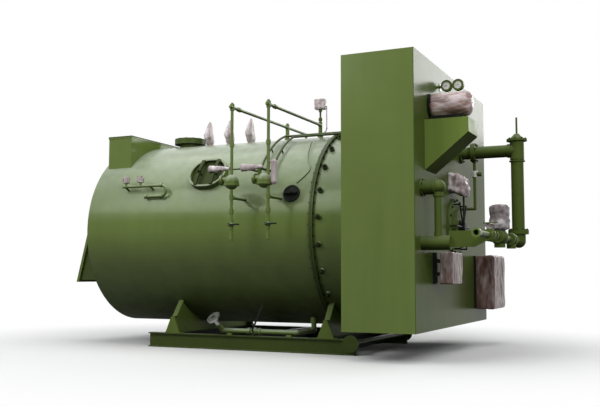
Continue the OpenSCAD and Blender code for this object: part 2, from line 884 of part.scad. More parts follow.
module control_cabinet() {
  lip = panel_t * 2;
  x = face_x + cabinet_off;
  color(film) {
    block(x, cabinet_y, cabinet_z, cabinet_l - lip, cabinet_w, cabinet_h);
    block(x + cabinet_l - lip, cabinet_y + lip, cabinet_z + lip, lip, cabinet_w - lip - lip,
      cabinet_h - lip - lip);
  }
}

/* Water outlet */

outlet_wall = 9.5;
outlet_neck = 40;
module outlet_holes_cut(z) {
  for (k = [0 : outlet_holes - 1])
    rotate([0, 0, (k + 0.5) * 360 / outlet_holes]) translate([outlet_pcr, 0, z - over])
      cylinder(r = outlet_hole_r, h = outlet_t + over + over);
}

module water_outlet() {
  z = shell_r + outlet_neck;
  color(dark_green) on_shell(outlet_x, 90) difference() {
    union() {
      translate([0, 0, shell_r / 2]) cylinder(r = outlet_neck_r, h = z - shell_r / 2);
      translate([0, 0, z]) cylinder(r = outlet_r, h = outlet_t);
    }
    cylinder(r = outlet_neck_r - outlet_wall, h = z + outlet_t + over);
    outlet_holes_cut(z);
    translate([-outlet_r, 0, 0]) rotate([0, 90, 0])
      cylinder(r = shell_r + seat, h = outlet_r * 2, $fn = shell_fn);
  }
}

module outlet_cover() {
  z = shell_r + outlet_neck + outlet_t;
  color(dark_green) on_shell(outlet_x, 90) difference() {
    translate([0, 0, z]) cylinder(r = outlet_r, h = outlet_t);
    outlet_holes_cut(z);
  }
}

/* Safety valves */

safety_r = 37;
// A flanged inlet, a body with a side outlet, and a pointed bonnet
module safety_valve(x) {
  z = crest;
  h = safety_h;
  color(film) difference() {
    union() {
      bar_z(x, 0, axis_h, safety_r * 0.8, shell_r + h * 0.2);
      bar_z(x, 0, z + h * 0.16, safety_r * 1.5, h * 0.08);
      bar_z(x, 0, z + h * 0.24, safety_r * 1.05, h * 0.3);
      translate([x, 0, z + h * 0.42]) sphere(r = safety_r * 1.25);
      bar_y(x, -safety_r * 2.3, z + h * 0.42, safety_r * 0.9, safety_r * 2.3);
      bar_y(x, -safety_r * 2.5, z + h * 0.42, safety_r * 1.1, safety_r * 0.5);
      bar_z(x, 0, z + h * 0.5, safety_r * 0.85, h * 0.28);
      translate([x, 0, z + h * 0.78]) cylinder(r1 = safety_r * 0.85, r2 = safety_r * 0.3, h = h * 0.22);
    }
    shell_cut(x, safety_r * 2);
    bar_y(x, -safety_r * 2.5 - over, z + h * 0.42, safety_r * 0.7, safety_r + over);
  }
}

module safety_valves() {
  for (x = safety_xs) safety_valve(x);
}

/* Manhole and handhole */

manhole_rise = 52;
manhole_lip = 14;
yoke_w = 38;
yoke_h = 30;
yoke_share = 0.42;
yoke_stud_r = 13;
module shell_local_cut(l) {
  translate([-l, 0, 0]) rotate([0, 90, 0]) cylinder(r = shell_r + seat, h = l + l, $fn = shell_fn);
}

module manhole_ring() {
  color(green) on_shell(manhole_x, manhole_deg) difference() {
    translate([0, 0, shell_r / 2]) linear_extrude(shell_r / 2 + manhole_rise) oval(manhole_a, manhole_b);
    translate([0, 0, shell_r / 2 - over]) linear_extrude(shell_r)
      oval(manhole_a - manhole_wall, manhole_b - manhole_wall);
    shell_local_cut(manhole_a * 2);
  }
}

// An inside cover, held by two yokes across the ring with a stud and a nut each
module manhole_cover() {
  top = shell_r + manhole_rise;
  half = manhole_b - manhole_wall;
  color(dark_green) on_shell(manhole_x, manhole_deg) {
    translate([0, 0, shell_r - manhole_lip]) linear_extrude(manhole_lip * 2)
      oval(manhole_a - manhole_wall - seat, half - seat);
    for (x = [-manhole_a * yoke_share, manhole_a * yoke_share]) {
      cross_profile(x - yoke_w / 2, yoke_w, [
        [-half, top], [half, top], [half, top + yoke_h / 2], [half / 3, top + yoke_h],
        [-half / 3, top + yoke_h], [-half, top + yoke_h / 2]]);
      translate([x, 0, shell_r]) cylinder(r = yoke_stud_r, h = manhole_rise + yoke_h * 2);
      translate([x, 0, top + yoke_h / 2]) cylinder(r = yoke_stud_r * 1.8, h = yoke_h);
    }
  }
}

handhole_rise = 34;
module handhole() {
  rise = handhole_rise;
  color(black) on_shell(handhole_x, handhole_deg) difference() {
    union() {
      translate([0, 0, shell_r / 2]) cylinder(r = handhole_r, h = shell_r / 2 + rise * 0.6);
      translate([-handhole_r * 0.8, -rise / 3, shell_r]) cube([handhole_r * 1.6, rise * 2 / 3, rise * 1.5]);
      translate([0, 0, shell_r]) cylinder(r = rise * 0.6, h = rise * 2);
    }
    difference() {
      translate([0, 0, shell_r + rise * 0.35]) cylinder(r = handhole_r * 0.8, h = rise);
      translate([-handhole_r * 0.8, -rise / 3, shell_r]) cube([handhole_r * 1.6, rise * 2 / 3, rise * 2]);
      translate([0, 0, shell_r]) cylinder(r = rise * 0.6, h = rise * 3);
    }
    shell_local_cut(handhole_r * 2);
  }
}

/* Water columns */

float_offs = [0, -46];
cross_h = 1690;
stub_r = 24;
neck_len = 128;
neck_r = 34;
neck_up = 25;
stem_len = 56;
plug_len = 15;
union_from = 130;
tee_share = 0.86;
stub_top_share = 1.6;
spider_share = 1.4;
far_reaches = [560, 0];

// An arm that runs on past the crest drops to the far side of the shell
module far_leg(x, y) {
  translate([x, y, column_top]) sphere(r = column_r * elbow_share);
  bar_z(x, y, axis_h, column_r, column_top - axis_h);
}

// A pipe column beside the shell: a plugged cross at the top with a run to the crest,
// a float chamber, a lower cross to the shell and a drain valve
module water_column(k) {
  x = column_xs[k];
  y = -column_y;
  c = column_r * coupling_share;
  t = c * tee_share;
  plug_r = column_r * tee_share;
  spider = c * spider_share;
  fx = float_x(k);
  color(green) difference() {
    union() {
      bar_z(x, y, column_end, column_r, column_top - column_end);
      bar_y(x, y, column_top, column_r, column_y + far_reaches[k]);
      if (far_reaches[k] > 0) far_leg(x, far_reaches[k]);
      bar_z(x, y, column_top - spider, c, spider * 2);
      bar_y(x, y - spider, column_top, t, spider * 2);
      bar_z(x, y, column_top, plug_r, spider + plug_len);
      bar_y(x, y - spider - plug_len, column_top, plug_r, spider + plug_len);
      bar_y(x, y + union_from, column_top, c, c * 2);
      bar_y(x, -stub_r * 2, column_top, t, stub_r * 2);
      bar_z(x, 0, axis_h, stub_r, column_top - axis_h + stub_r * stub_top_share);
      bar_z(x, 0, column_top, plug_r, stub_r * stub_top_share + plug_len);
      bar_z(x, 0, axis_h, stub_r * 1.5, shell_r + stub_r * 1.5);
      translate([fx, y, float_h]) sphere(r = float_r);
      bar_z(fx, y, float_h - float_r / 2, float_r * 1.05, c);
      bar_x(fx - neck_len, y, float_h + neck_up, neck_r, neck_len);
      bar_x(fx - neck_len, y, float_h + neck_up, neck_r * 1.7, c);
      for (z = [cross_h, (cross_h + drain_h) / 2, column_end + c * 1.5, (float_h + column_top) / 2])
        bar_z(x, y, z - c, c, c * 2);
      bar_y(x, y, cross_h, column_r, column_y);
      bar_y(x, y, cross_h, t, c * 2);
      bar_z(x, y, drain_h - c * 2, c, c * 4);
      translate([x, y, drain_h]) sphere(r = c * 1.3);
      bar_y(x, y - stem_len, drain_h, column_r / 2, stem_len);
    }
    axis_bar(shell_x, shell_r + seat, shell_len);
    bar_z(x, y, column_end - over, column_r * 0.8, c * 3);
  }
}

module water_column_1() {
  water_column(0);
}

module water_column_2() {
  water_column(1);
}

head_l = 250;
head_r = 42;
head_tip_r = 15;
head_rise = 150;
head_h = float_h + head_rise;

function float_x(k) = column_xs[k] + float_offs[k];
function head_x(k) = float_x(k) - neck_len / 2 + head_r - head_l;

// A switch head's tapered case; other parts are cut back from it by a margin
module head_case(k, margin) {
  translate([head_x(k) - margin, -column_y, head_h]) rotate([0, 90, 0])
    cylinder(r1 = head_r + margin, r2 = head_tip_r + margin, h = head_l + margin * 2);
}

// A switch head that stands on the float chamber's neck
module switch_head(k) {
  fx = float_x(k);
  z0 = float_h + neck_up;
  color(film) {
    head_case(k, 0);
    difference() {
      bar_z(fx - neck_len / 2, -column_y, z0, neck_r / 2, head_h - z0);
      bar_x(fx - neck_len, -column_y, z0, neck_r + seat, neck_len * 2);
      translate([fx, -column_y, float_h]) sphere(r = float_r + seat);
    }
  }
}

module switch_heads() {
  for (k = [0, 1]) switch_head(k);
}

glass_off = 70;
glass_r = 9;
glass_guard_r = 31;
glass_low = 1835;
glass_len = 230;
glass_zs = [glass_low, glass_low + glass_len];

// A gauge glass in its guard, between two cocks on the front column
module gauge_glass() {
  x = column_xs[1] + glass_off;
  y = -column_y;
  color(white) difference() {
    union() {
      bar_z(x, y, glass_zs[0], glass_guard_r, glass_len);
      for (z = glass_zs) {
        bar_x(x - glass_off, y, z, column_r * 0.7, glass_off);
        bar_z(x, y, z - glass_r * 2, glass_r * 2, glass_r * 4);
      }
    }
    bar_z(x - glass_off, y, column_end, column_r + seat, column_top - column_end);
    translate([x - glass_off + float_offs[1], y, float_h]) sphere(r = float_r + seat);
    bar_z(x - glass_off + float_offs[1], y, float_h - float_r, float_r * 1.05 + seat, float_r);
  }
}

lever_t = 6;
hub_share = 2;

// A flat quarter-turn lever on a stem that points to the near side
module lever(x, y, z, stem_r, l, deg) {
  hub = stem_r * hub_share;
  color(black) translate([x, y, z]) rotate([0, -deg, 0]) difference() {
    union() {
      bar_y(0, 0, 0, hub, lever_t * 2);
      block(0, 0, -hub / 2, l, lever_t, hub);
      bar_y(l, 0, 0, hub / 2, lever_t);
    }
    bar_y(0, -over, 0, stem_r + run, lever_t * 4);
  }
}

module drain_lever_1() {
  lever(column_xs[0], -column_y - stem_len + lever_t / 2, drain_h, column_r / 2, drain_lever_len, 0);
}

module drain_lever_2() {
  lever(column_xs[1], -column_y - stem_len + lever_t / 2, drain_h, column_r / 2, drain_lever_len, 0);
}

switch_box = 112;
switch_up = 252;

// A pressure switch above the front column's crest stub
module pressure_switch() {
  x = column_xs[1];
  z0 = column_top + stub_r * stub_top_share + plug_len;
  z1 = column_top + switch_up - switch_box / 2;
  color(film) {
    bar_z(x, 0, z0, column_r * 0.7, z1 - z0 + over);
    bar_z(x, 0, z0, column_r * 1.4, column_r * 2);
    bar_z(x, 0, z1 - column_r * 2, column_r * 1.2, column_r * 2 + over);
    block(x - switch_box / 2, -switch_box / 3, z1, switch_box, switch_box * 2 / 3, switch_box);
  }
}

lead_r = 7;
lead_off = 28;
lead_bend_r = 60;
lead_end = 66;

// A stiff lead from the pressure switch, bent round to the crest stub
module switch_lead() {
  x = column_xs[1];
  xv = x + switch_box / 2 + lead_off;
  z0 = crest + lead_end + lead_bend_r;
  z1 = column_top + switch_up - switch_box / 4;
  color(white) difference() {
    union() {
      bar_x(x + switch_box / 2, 0, z1, lead_r, lead_off);
      bar_x(x + switch_box / 2, 0, z1, lead_r * coupling_share, lead_r);
      translate([xv, 0, z1]) sphere(r = lead_r * elbow_share);
      bar_z(xv, 0, z0, lead_r, z1 - z0);
      bar_z(xv, 0, z0 - lead_r, lead_r * coupling_share, lead_r * 2);
      translate([xv - lead_bend_r, 0, z0]) rotate([90, 0, 0]) rotate([0, 0, -90])
        rotate_extrude(angle = 90) translate([lead_bend_r, 0]) circle(r = lead_r, $fn = 24);
      bar_x(xv - lead_bend_r - lead_r, 0, z0 - lead_bend_r, lead_r * coupling_share, lead_r * 2);
      bar_x(x, 0, z0 - lead_bend_r, lead_r, xv - lead_bend_r - x);
    }
    bar_z(x, 0, axis_h, stub_r + seat, column_top - axis_h);
  }
}

/* Conduits */

conduit_r = 13;
conduit_degs = [72, 68];
conduit_ins = [14, 164];
link_r = 8;
link_back = 76;
conduit_arc_r = shell_r + ring_proud + conduit_r + seat;
conduit_low_deg = asin((head_h - axis_h) / conduit_arc_r);

// Round stretch of a conduit about the shell's axis, between two angles above the horizontal
module conduit_arc(x, low, high) {
  translate([x, 0, axis_h]) rotate([0, 90, 0]) rotate([0, 0, 270 - high])
    rotate_extrude(angle = high - low, $fn = arc_fn)
      translate([conduit_arc_r, 0]) circle(r = conduit_r, $fn = 24);
}

// Each conduit leaves the front switch head, climbs the shell on a clip and runs along it to the casing
module conduit(k) {
  x = head_x(1) + conduit_ins[k];
  y_arc = -conduit_arc_r * cos(conduit_low_deg);
  clip_deg = (conduit_low_deg + conduit_degs[k]) / 2;
  difference() {
    bar_y(x, -column_y, head_h, conduit_r, column_y + y_arc);
    head_case(1, seat);
  }
  translate([x, y_arc, head_h]) sphere(r = conduit_r * elbow_share);
  conduit_arc(x, conduit_low_deg, conduit_degs[k]);
  on_shell(x, conduit_degs[k]) translate([0, 0, conduit_arc_r]) sphere(r = conduit_r * elbow_share);
  on_shell(0, conduit_degs[k]) bar_x(x, 0, conduit_arc_r, conduit_r, casing_x - seat - x);
  on_shell(x, clip_deg) difference() {
    translate([0, 0, shell_r / 2]) cylinder(r = conduit_r * 0.7, h = conduit_arc_r - shell_r / 2);
    shell_local_cut(conduit_r * 4);
  }
}

// A thin link from the rear head to the first conduit, behind the rear column
module head_link() {
  x = head_x(0) + head_l / 2;
  y = -column_y + link_back;
  difference() {
    bar_y(x, -column_y, head_h, link_r, link_back);
    head_case(0, seat);
  }
  translate([x, y, head_h]) sphere(r = link_r * elbow_share);
  bar_x(x, y, head_h, link_r, head_x(1) + conduit_ins[0] - x);
}

module conduits() {
  color(dark_green) {
    for (k = [0, 1]) conduit(k);
    head_link();
  }
}

/* Control manifold on the rear upper side */

mani_deg = 25;
mani_r = 16;
mani_off = 84;
mani_from = 505;
mani_len = 551;
mani_tail = 230;
mani_loop_r = 64;
mani_box_w = 60;
mani_box_h = 72;
mani_neck = 46;
mani_box_shares = [0.08, 0.46];

// A small header on two stubs, with a siphon at its front end and two controls on top
module control_manifold() {
  rad = shell_r + mani_off;
  y = -rad * cos(mani_deg);
  z = axis_h + rad * sin(mani_deg);
  x0 = shell_x + mani_from;
  x1 = x0 + mani_len;
  color(green) {
    bar_x(x0, y, z, mani_r, mani_len);
    for (x = [x0 + mani_r * 2, x0 + mani_len * 0.7])
      on_shell(x, mani_deg) difference() {
        translate([0, 0, shell_r / 2]) cylinder(r = mani_r * tee_share, h = rad - shell_r / 2);
        shell_local_cut(mani_r * 4);
      }
    translate([x1, y, z - mani_loop_r]) rotate([90, 0, 0]) rotate([0, 0, -90])
      rotate_extrude(angle = 180) translate([mani_loop_r, 0]) circle(r = mani_r, $fn = 32);
    bar_x(x1 - mani_tail, y, z - mani_loop_r * 2, mani_r, mani_tail);
    bar_x(x1 - mani_tail, y, z - mani_loop_r * 2, mani_r * coupling_share, mani_r * 2);
    for (v = [z, z - mani_loop_r * 2])
      bar_x(x1 - mani_r, y, v, mani_r * coupling_share, mani_r * 2);
    for (k = mani_box_shares) {
      bar_z(x0 + mani_len * k, y, z, mani_r * 0.8, mani_neck);
      block(x0 + mani_len * k - mani_box_w / 2, y - mani_box_w / 2, z + mani_neck, mani_box_w, mani_box_w,
        mani_box_h);
    }
  }
}

/* Blowdown line */

blow_y = 885;
blow_lift = 48;
blow_h = beam_h + blow_lift;
blow_x0 = -316;
blow_x1 = 620;
blow_end_len = 215;
blow_rise_deg = 47.5;
blow_turn_deg = 21.6;
blow_valve_x = 97;
blow_valve_r = blow_lift - seat;
blow_stem_r = 10;
blow_stem_len = 84;
blow_flange_t = 22;
blow_end_y = 420;
blow_bore_r = 26;
blow_pcr = 62.5;
blow_holes = 4;
blow_hole_r = 9;

// Local Z along the line's open end, from its elbow
module at_blow_end() {
  translate([blow_x0, -blow_y, blow_h]) rotate([90 - blow_rise_deg, 0, -blow_turn_deg]) children();
}

// The line leaves the shell's underside and runs back along the beam through the valve
module blowdown_pipe() {
  b = blow_r * bend_share * 2;
  color(green) difference() {
    union() {
      bar_x(blow_x0, -blow_y, blow_h, blow_r, blow_x1 - blow_x0);
      translate([blow_x0, -blow_y, blow_h]) sphere(r = blow_r * 1.1);
      at_blow_end() cylinder(r = blow_r, h = blow_end_len / 2);
      translate([blow_x1, -blow_y, blow_h]) sphere(r = blow_r * 1.1);
      bar_y(blow_x1, -blow_y, blow_h, blow_r, blow_y - blow_end_y);
      translate([blow_x1, -blow_end_y, blow_h]) sphere(r = blow_r * 1.1);
      bar_z(blow_x1, -blow_end_y, blow_h, blow_r, axis_h - blow_h);
      bar_z(blow_x1, -blow_end_y, blow_h + b, blow_r * 1.5, axis_h - blow_h - b);
      translate([blow_valve_x, -blow_y, blow_h]) rotate([0, 90, 0]) sphere(r = blow_valve_r);
      for (s = [-1, 1])
        bar_x(blow_valve_x + s * blow_valve_r * 1.4 - blow_r / 2, -blow_y, blow_h, blow_r * 1.35, blow_r);
      bar_y(blow_valve_x, -blow_y - blow_stem_len, blow_h, blow_stem_r, blow_stem_len);
      bar_y(blow_valve_x, -blow_y - blow_valve_r * 1.2, blow_h, blow_stem_r * 2, blow_valve_r);
      for (x = [blow_x0 + b, blow_x1 - b])
        block(x - blow_r, -blow_y - blow_r * 0.6, beam_h, blow_r * 2, blow_r * 1.2, blow_h - beam_h);
    }
    shell_cut(blow_x1, blow_r * 4);
  }
}

// The flanged end, turned up and outward, is open
module blowdown_outlet() {
  half = blow_end_len / 2;
  color(steel) at_blow_end() difference() {
    union() {
      translate([0, 0, half]) cylinder(r = blow_r, h = half);
      translate([0, 0, blow_end_len - blow_flange_t]) cylinder(r = blow_flange_r, h = blow_flange_t);
    }
    translate([0, 0, half - over]) cylinder(r = blow_bore_r, h = blow_end_len);
    for (k = [0 : blow_holes - 1])
      rotate([0, 0, (k + 0.5) * 360 / blow_holes]) translate([blow_pcr, 0, half])
        cylinder(r = blow_hole_r, h = blow_end_len);
  }
}

module blowdown_lever() {
  lever(blow_valve_x, -blow_y - blow_stem_len + lever_t / 2, blow_h, blow_stem_r, blow_lever_len,
    blow_lever_deg);
}

skid_beams();
skid_cross_members();
tow_bar();
saddles();
shell();
rear_end_plate();
flange_ring();
front_barrel();
rear_hood();
rear_hood_cover();
flue_box();
flue_cover();
casing_back();
casing_sides();
casing_top_bottom();
front_panel();
motor_shelf();
motor_flange();
fan_motor();
gauge_bracket();
dial_gauges();
gas_main();
gas_train();
gas_inlet();
gas_regulator();
pilot_line();
train_support();
burner_front();
burner_gun();
burner_actuator();
bypass_pipe();
junction_box();
junction_bracket();
cabinet_back();
control_cabinet();
water_outlet();
outlet_cover();
safety_valves();
manhole_ring();
manhole_cover();
handhole();
water_column_1();
water_column_2();
switch_heads();
gauge_glass();
drain_lever_1();
drain_lever_2();
pressure_switch();
switch_lead();
conduits();
control_manifold();
blowdown_pipe();
blowdown_outlet();
blowdown_lever();
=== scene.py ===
"""Looks of the fire-tube water heater: paint, packing film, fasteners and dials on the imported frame."""
import json
import math

import bmesh
import bpy
from mathutils import Matrix, Vector, noise


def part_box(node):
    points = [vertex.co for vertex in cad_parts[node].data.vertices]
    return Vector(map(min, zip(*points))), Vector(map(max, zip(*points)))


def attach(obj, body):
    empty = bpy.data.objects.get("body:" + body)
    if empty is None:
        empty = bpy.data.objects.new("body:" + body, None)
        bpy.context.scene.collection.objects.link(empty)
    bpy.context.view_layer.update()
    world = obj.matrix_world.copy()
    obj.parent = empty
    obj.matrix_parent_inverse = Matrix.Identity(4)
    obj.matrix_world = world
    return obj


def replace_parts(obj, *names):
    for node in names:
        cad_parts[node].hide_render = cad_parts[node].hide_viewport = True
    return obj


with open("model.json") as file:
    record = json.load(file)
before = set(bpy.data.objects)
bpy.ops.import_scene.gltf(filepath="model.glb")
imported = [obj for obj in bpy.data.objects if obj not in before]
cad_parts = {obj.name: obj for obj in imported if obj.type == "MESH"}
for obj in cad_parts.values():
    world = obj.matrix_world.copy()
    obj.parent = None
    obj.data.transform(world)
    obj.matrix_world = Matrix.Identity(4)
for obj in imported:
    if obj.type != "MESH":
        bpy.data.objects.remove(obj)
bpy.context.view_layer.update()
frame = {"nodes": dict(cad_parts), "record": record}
nodes = frame["nodes"]
PLANT = "plant"

# Places that several pieces share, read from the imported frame
shell_low, shell_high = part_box("shell")
shell_r = (shell_high.y - shell_low.y) / 2
axis_z = (shell_high.z + shell_low.z) / 2
face_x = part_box("front_panel")[1].x


# Nodes that the materials share

EVEN, NO_TURN = (1.0, 1.0, 1.0), (0.0, 0.0, 0.0)
BLACK = (0.0, 0.0, 0.0)
NOISE_SPAN = 0.3, 0.7


def new_material(name):
    """An empty node material with its output and one principled shader."""
    material = bpy.data.materials.new(name)
    material.use_nodes = True
    tree = material.node_tree
    tree.nodes.clear()
    shader = tree.nodes.new("ShaderNodeBsdfPrincipled")
    output = tree.nodes.new("ShaderNodeOutputMaterial")
    tree.links.new(shader.outputs["BSDF"], output.inputs["Surface"])
    return material, tree, shader


def add(tree, kind, **settings):
    """A new node with its sockets, or its attributes, set by name."""
    node = tree.nodes.new(kind)
    for key, value in settings.items():
        socket = node.inputs.get(key.title())
        if socket:
            socket.default_value = value
        else:
            setattr(node, key, value)
    return node


def placed(tree, texture, stretch, turn):
    """A texture put on the object's own coordinates, stretched along the axes and turned."""
    place = add(tree, "ShaderNodeTexCoord")
    mapping = add(tree, "ShaderNodeMapping", scale=stretch, rotation=turn)
    tree.links.new(place.outputs["Object"], mapping.inputs["Vector"])
    tree.links.new(mapping.outputs["Vector"], texture.inputs["Vector"])


def noise_texture(tree, scale, detail, stretch=EVEN, turn=NO_TURN):
    """A noise value over the object."""
    texture = add(tree, "ShaderNodeTexNoise", scale=scale, detail=detail)
    placed(tree, texture, stretch, turn)
    return texture.outputs["Fac"]


def ramp(tree, value, stops):
    """A colour ramp over a value, from (place, colour) stops."""
    node = add(tree, "ShaderNodeValToRGB")
    elements = node.color_ramp.elements
    while len(elements) < len(stops):
        elements.new(0.5)
    for element, (place, colour) in zip(elements, stops):
        element.position = place
        element.color = (*colour, 1.0)
    tree.links.new(value, node.inputs["Fac"])
    return node.outputs["Color"]


def scaled(colour, share):
    """A colour made darker or paler."""
    return tuple(channel * share for channel in colour)


def tones(tree, value, colour, shades, places=NOISE_SPAN):
    """A colour that goes between two shades of itself with a value."""
    return ramp(tree, value, [(place, scaled(colour, shade)) for place, shade in zip(places, shades)])


def spread(tree, value, low, high):
    """A noise value mapped to a range."""
    node = add(tree, "ShaderNodeMapRange")
    node.inputs["From Min"].default_value, node.inputs["From Max"].default_value = NOISE_SPAN
    node.inputs["To Min"].default_value = low
    node.inputs["To Max"].default_value = high
    tree.links.new(value, node.inputs["Value"])
    return node.outputs["Result"]


def mix(tree, factor, first, second):
    """A colour mix of two sockets by a third."""
    node = add(tree, "ShaderNodeMix", data_type="RGBA")
    colour_in = [socket for socket in node.inputs if socket.type == "RGBA"]
    colour_out = [socket for socket in node.outputs if socket.type == "RGBA"]
    tree.links.new(factor, node.inputs["Factor"])
    tree.links.new(first, colour_in[0])
    tree.links.new(second, colour_in[1])
    return colour_out[0]


def bump(tree, shader, height, strength, distance):
    """A bump from a height value on the shader's normal."""
    node = add(tree, "ShaderNodeBump", strength=strength, distance=distance)
    tree.links.new(height, node.inputs["Height"])
    tree.links.new(node.outputs["Normal"], shader.inputs["Normal"])


def facing(tree, stops):
    """A grey value by how far a surface faces up (1), sideways (0.5) or down (0)."""
    geometry = add(tree, "ShaderNodeNewGeometry")
    split = add(tree, "ShaderNodeSeparateXYZ")
    height = add(tree, "ShaderNodeMapRange")
    height.inputs["From Min"].default_value = -1.0
    tree.links.new(geometry.outputs["Normal"], split.inputs["Vector"])
    tree.links.new(split.outputs["Z"], height.inputs["Value"])
    return ramp(tree, height.outputs["Result"], [(place, (grey, grey, grey)) for place, grey in stops])


# Paint: the noise of its marks as (scale, detail), and the shades of the colour between which they go

DRIFT, DRIFT_SHADES = (1.3, 5.0), (0.88, 1.1)
RUNS, RUN_STRETCH, RUN_SHADES, RUN_PLACES = (2.0, 6.0), (4.0, 4.0, 0.35), (0.82, 1.0), (0.35, 0.6)
RUN_PATCHES, RUN_AMOUNT = (0.7, 3.0), (0.1, 0.5)
# Painted shade: the noise and dark tones of the colour for surfaces that face down
BELOW_SHADE_NOISE, BELOW_SHADE_TONES = (5.0, 6.0), (0.1, 0.24)
# Painted sky reflection: pale grey tints, patchy with noise
SKY_REFLECTION_NOISE, SKY_REFLECTION_TINTS = (9.0, 6.0), ((0.44, 0.48, 0.43), (0.55, 0.59, 0.55))
SHEEN = 6.0, 5.0
PEEL, PEEL_DEPTH = (90.0, 2.0), 0.002
# How strongly the painted shade darkens a surface, by how far it faces down
PAINTED_SHADE_BELOW = (0.05, 1.0), (0.3, 0.6), (0.49, 0.0)
# How strongly the painted sky reflection covers a surface, from just above level to the top
SKY_REFLECTION_ABOVE = (0.54, 0.0), (0.62, 0.3), (0.97, 1.0)
MATT_BELOW = (0.1, 0.7), (0.45, 0.0)
PAINT_REFLECTION = (0.88, 1.0, 0.78, 1.0)


def paint(name, colour, gloss, sky_reflection, specular=0.25, peel=0.05, wear=0.27):
    """Enamel: slow shade drift, run marks, painted shade below, painted sky reflection above, orange peel.
    """
    material, tree, shader = new_material(name)
    drift = tones(tree, noise_texture(tree, *DRIFT), colour, DRIFT_SHADES)
    runs = tones(tree, noise_texture(tree, *RUNS, RUN_STRETCH), colour, RUN_SHADES, RUN_PLACES)
    shade = mix(tree, spread(tree, noise_texture(tree, *RUN_PATCHES), *RUN_AMOUNT), drift, runs)
    # Painted shade: surfaces that face down go toward a dark tone of the colour
    painted_shade = tones(tree, noise_texture(tree, *BELOW_SHADE_NOISE), colour, BELOW_SHADE_TONES)
    shade = mix(tree, facing(tree, PAINTED_SHADE_BELOW), shade, painted_shade)
    # Painted sky reflection: a pale tint over surfaces that face up, by the amount given for the paint
    pale = ramp(tree, noise_texture(tree, *SKY_REFLECTION_NOISE), list(zip(NOISE_SPAN, SKY_REFLECTION_TINTS)))
    shade = mix(tree, facing(tree, [(place, sky_reflection * share) for place, share in SKY_REFLECTION_ABOVE]), shade, pale)
    tree.links.new(shade, shader.inputs["Base Color"])
    sheen = spread(tree, noise_texture(tree, *SHEEN), gloss * (1 - wear), gloss * (1 + wear))
    rough = add(tree, "ShaderNodeMath", operation="MAXIMUM")
    tree.links.new(sheen, rough.inputs[0])
    tree.links.new(facing(tree, MATT_BELOW), rough.inputs[1])
    tree.links.new(rough.outputs["Value"], shader.inputs["Roughness"])
    shader.inputs["Specular IOR Level"].default_value = specular
    shader.inputs["Specular Tint"].default_value = PAINT_REFLECTION
    bump(tree, shader, noise_texture(tree, *PEEL), peel, PEEL_DEPTH)
    return material


# Packing film: streaks, patches and painted fold highlights in its tints, with their noise as (scale,
# detail)

STREAKS, STREAK_PLACES = (17.0, 7.0), (0.34, 0.5, 0.64)
PATCHES, PATCH_SHADES, PATCH_PLACES = (6.0, 4.0), (0.7, 1.15), (0.35, 0.65)
PATCH_SPOTS, PATCH_AMOUNT = (4.0, 3.0), (0.05, 0.5)
# Painted highlights: pale lines along the film's folds
FOLD_HIGHLIGHT_NOISE, FOLD_HIGHLIGHT_SHADES, FOLD_HIGHLIGHT_PLACES = (11.0, 5.0), (0.8, 1.1), (0.4, 0.6)
FOLD_HIGHLIGHT_SCALE, FOLD_HIGHLIGHT_WIDTH = 10.0, 0.11
FILM_SHADED_BELOW, FILM_UNDER_SHADE = ((0.05, 0.8), (0.45, 0.0)), 0.4
FILM_SHEEN, FILM_GLOSS = (18.0, 4.0), (0.12, 0.34)
FILM_SPECULAR, FILM_COAT, FILM_COAT_ROUGHNESS = 0.12, 0.12, 0.1
FILM_CRINKLES, FILM_BUMP, FILM_BUMP_DEPTH = (30.0, 9.0), 0.6, 0.012


def fold_highlight_lines(tree, strength, stretch, turn):
    """Painted highlights on the film's folds: thin lines along the edges of stretched cells, a strength on
    a line, 0 beside it.
    """
    cells = add(tree, "ShaderNodeTexVoronoi", feature="DISTANCE_TO_EDGE", scale=FOLD_HIGHLIGHT_SCALE)
    placed(tree, cells, stretch, turn)
    return ramp(tree, cells.outputs["Distance"], [(0.0, (strength,) * 3), (FOLD_HIGHLIGHT_WIDTH, BLACK)])


def film_material(name, tints, stretch, turn=NO_TURN, fold_highlights=0.08):
    """Crumpled packing film: long streaks of darker and paler tint, partly painted shade and highlight of
    its crumples, under a glossy skin.
    """
    material, tree, shader = new_material(name)
    dark, middle, pale = tints
    # Streaks: partly the film's own tint, partly painted shade and highlight of its crumples
    streak_marks = noise_texture(tree, *STREAKS, stretch, turn)
    streaks = ramp(tree, streak_marks, list(zip(STREAK_PLACES, tints)))
    patches = tones(tree, noise_texture(tree, *PATCHES), middle, PATCH_SHADES, PATCH_PLACES)
    patch_share = spread(tree, noise_texture(tree, *PATCH_SPOTS), *PATCH_AMOUNT)
    shade = mix(tree, patch_share, streaks, patches)
    fold_highlight_tone = tones(tree, noise_texture(tree, *FOLD_HIGHLIGHT_NOISE), pale, FOLD_HIGHLIGHT_SHADES, FOLD_HIGHLIGHT_PLACES)
    # Painted highlight: pale lines laid along the folds
    shade = mix(tree, fold_highlight_lines(tree, fold_highlights, stretch, turn), shade, fold_highlight_tone)
    under = tones(tree, streaks, dark, (FILM_UNDER_SHADE, 1.0), (0.0, 1.0))
    shade = mix(tree, facing(tree, FILM_SHADED_BELOW), shade, under)
    tree.links.new(shade, shader.inputs["Base Color"])
    gloss = spread(tree, noise_texture(tree, *FILM_SHEEN, stretch), *FILM_GLOSS)
    tree.links.new(gloss, shader.inputs["Roughness"])
    shader.inputs["Specular IOR Level"].default_value = FILM_SPECULAR
    shader.inputs["Coat Weight"].default_value = FILM_COAT
    shader.inputs["Coat Roughness"].default_value = FILM_COAT_ROUGHNESS
    bump(tree, shader, noise_texture(tree, *FILM_CRINKLES, stretch, turn), FILM_BUMP, FILM_BUMP_DEPTH)
    return material


# Bare steel and plain coatings, with their noise as (scale, detail)

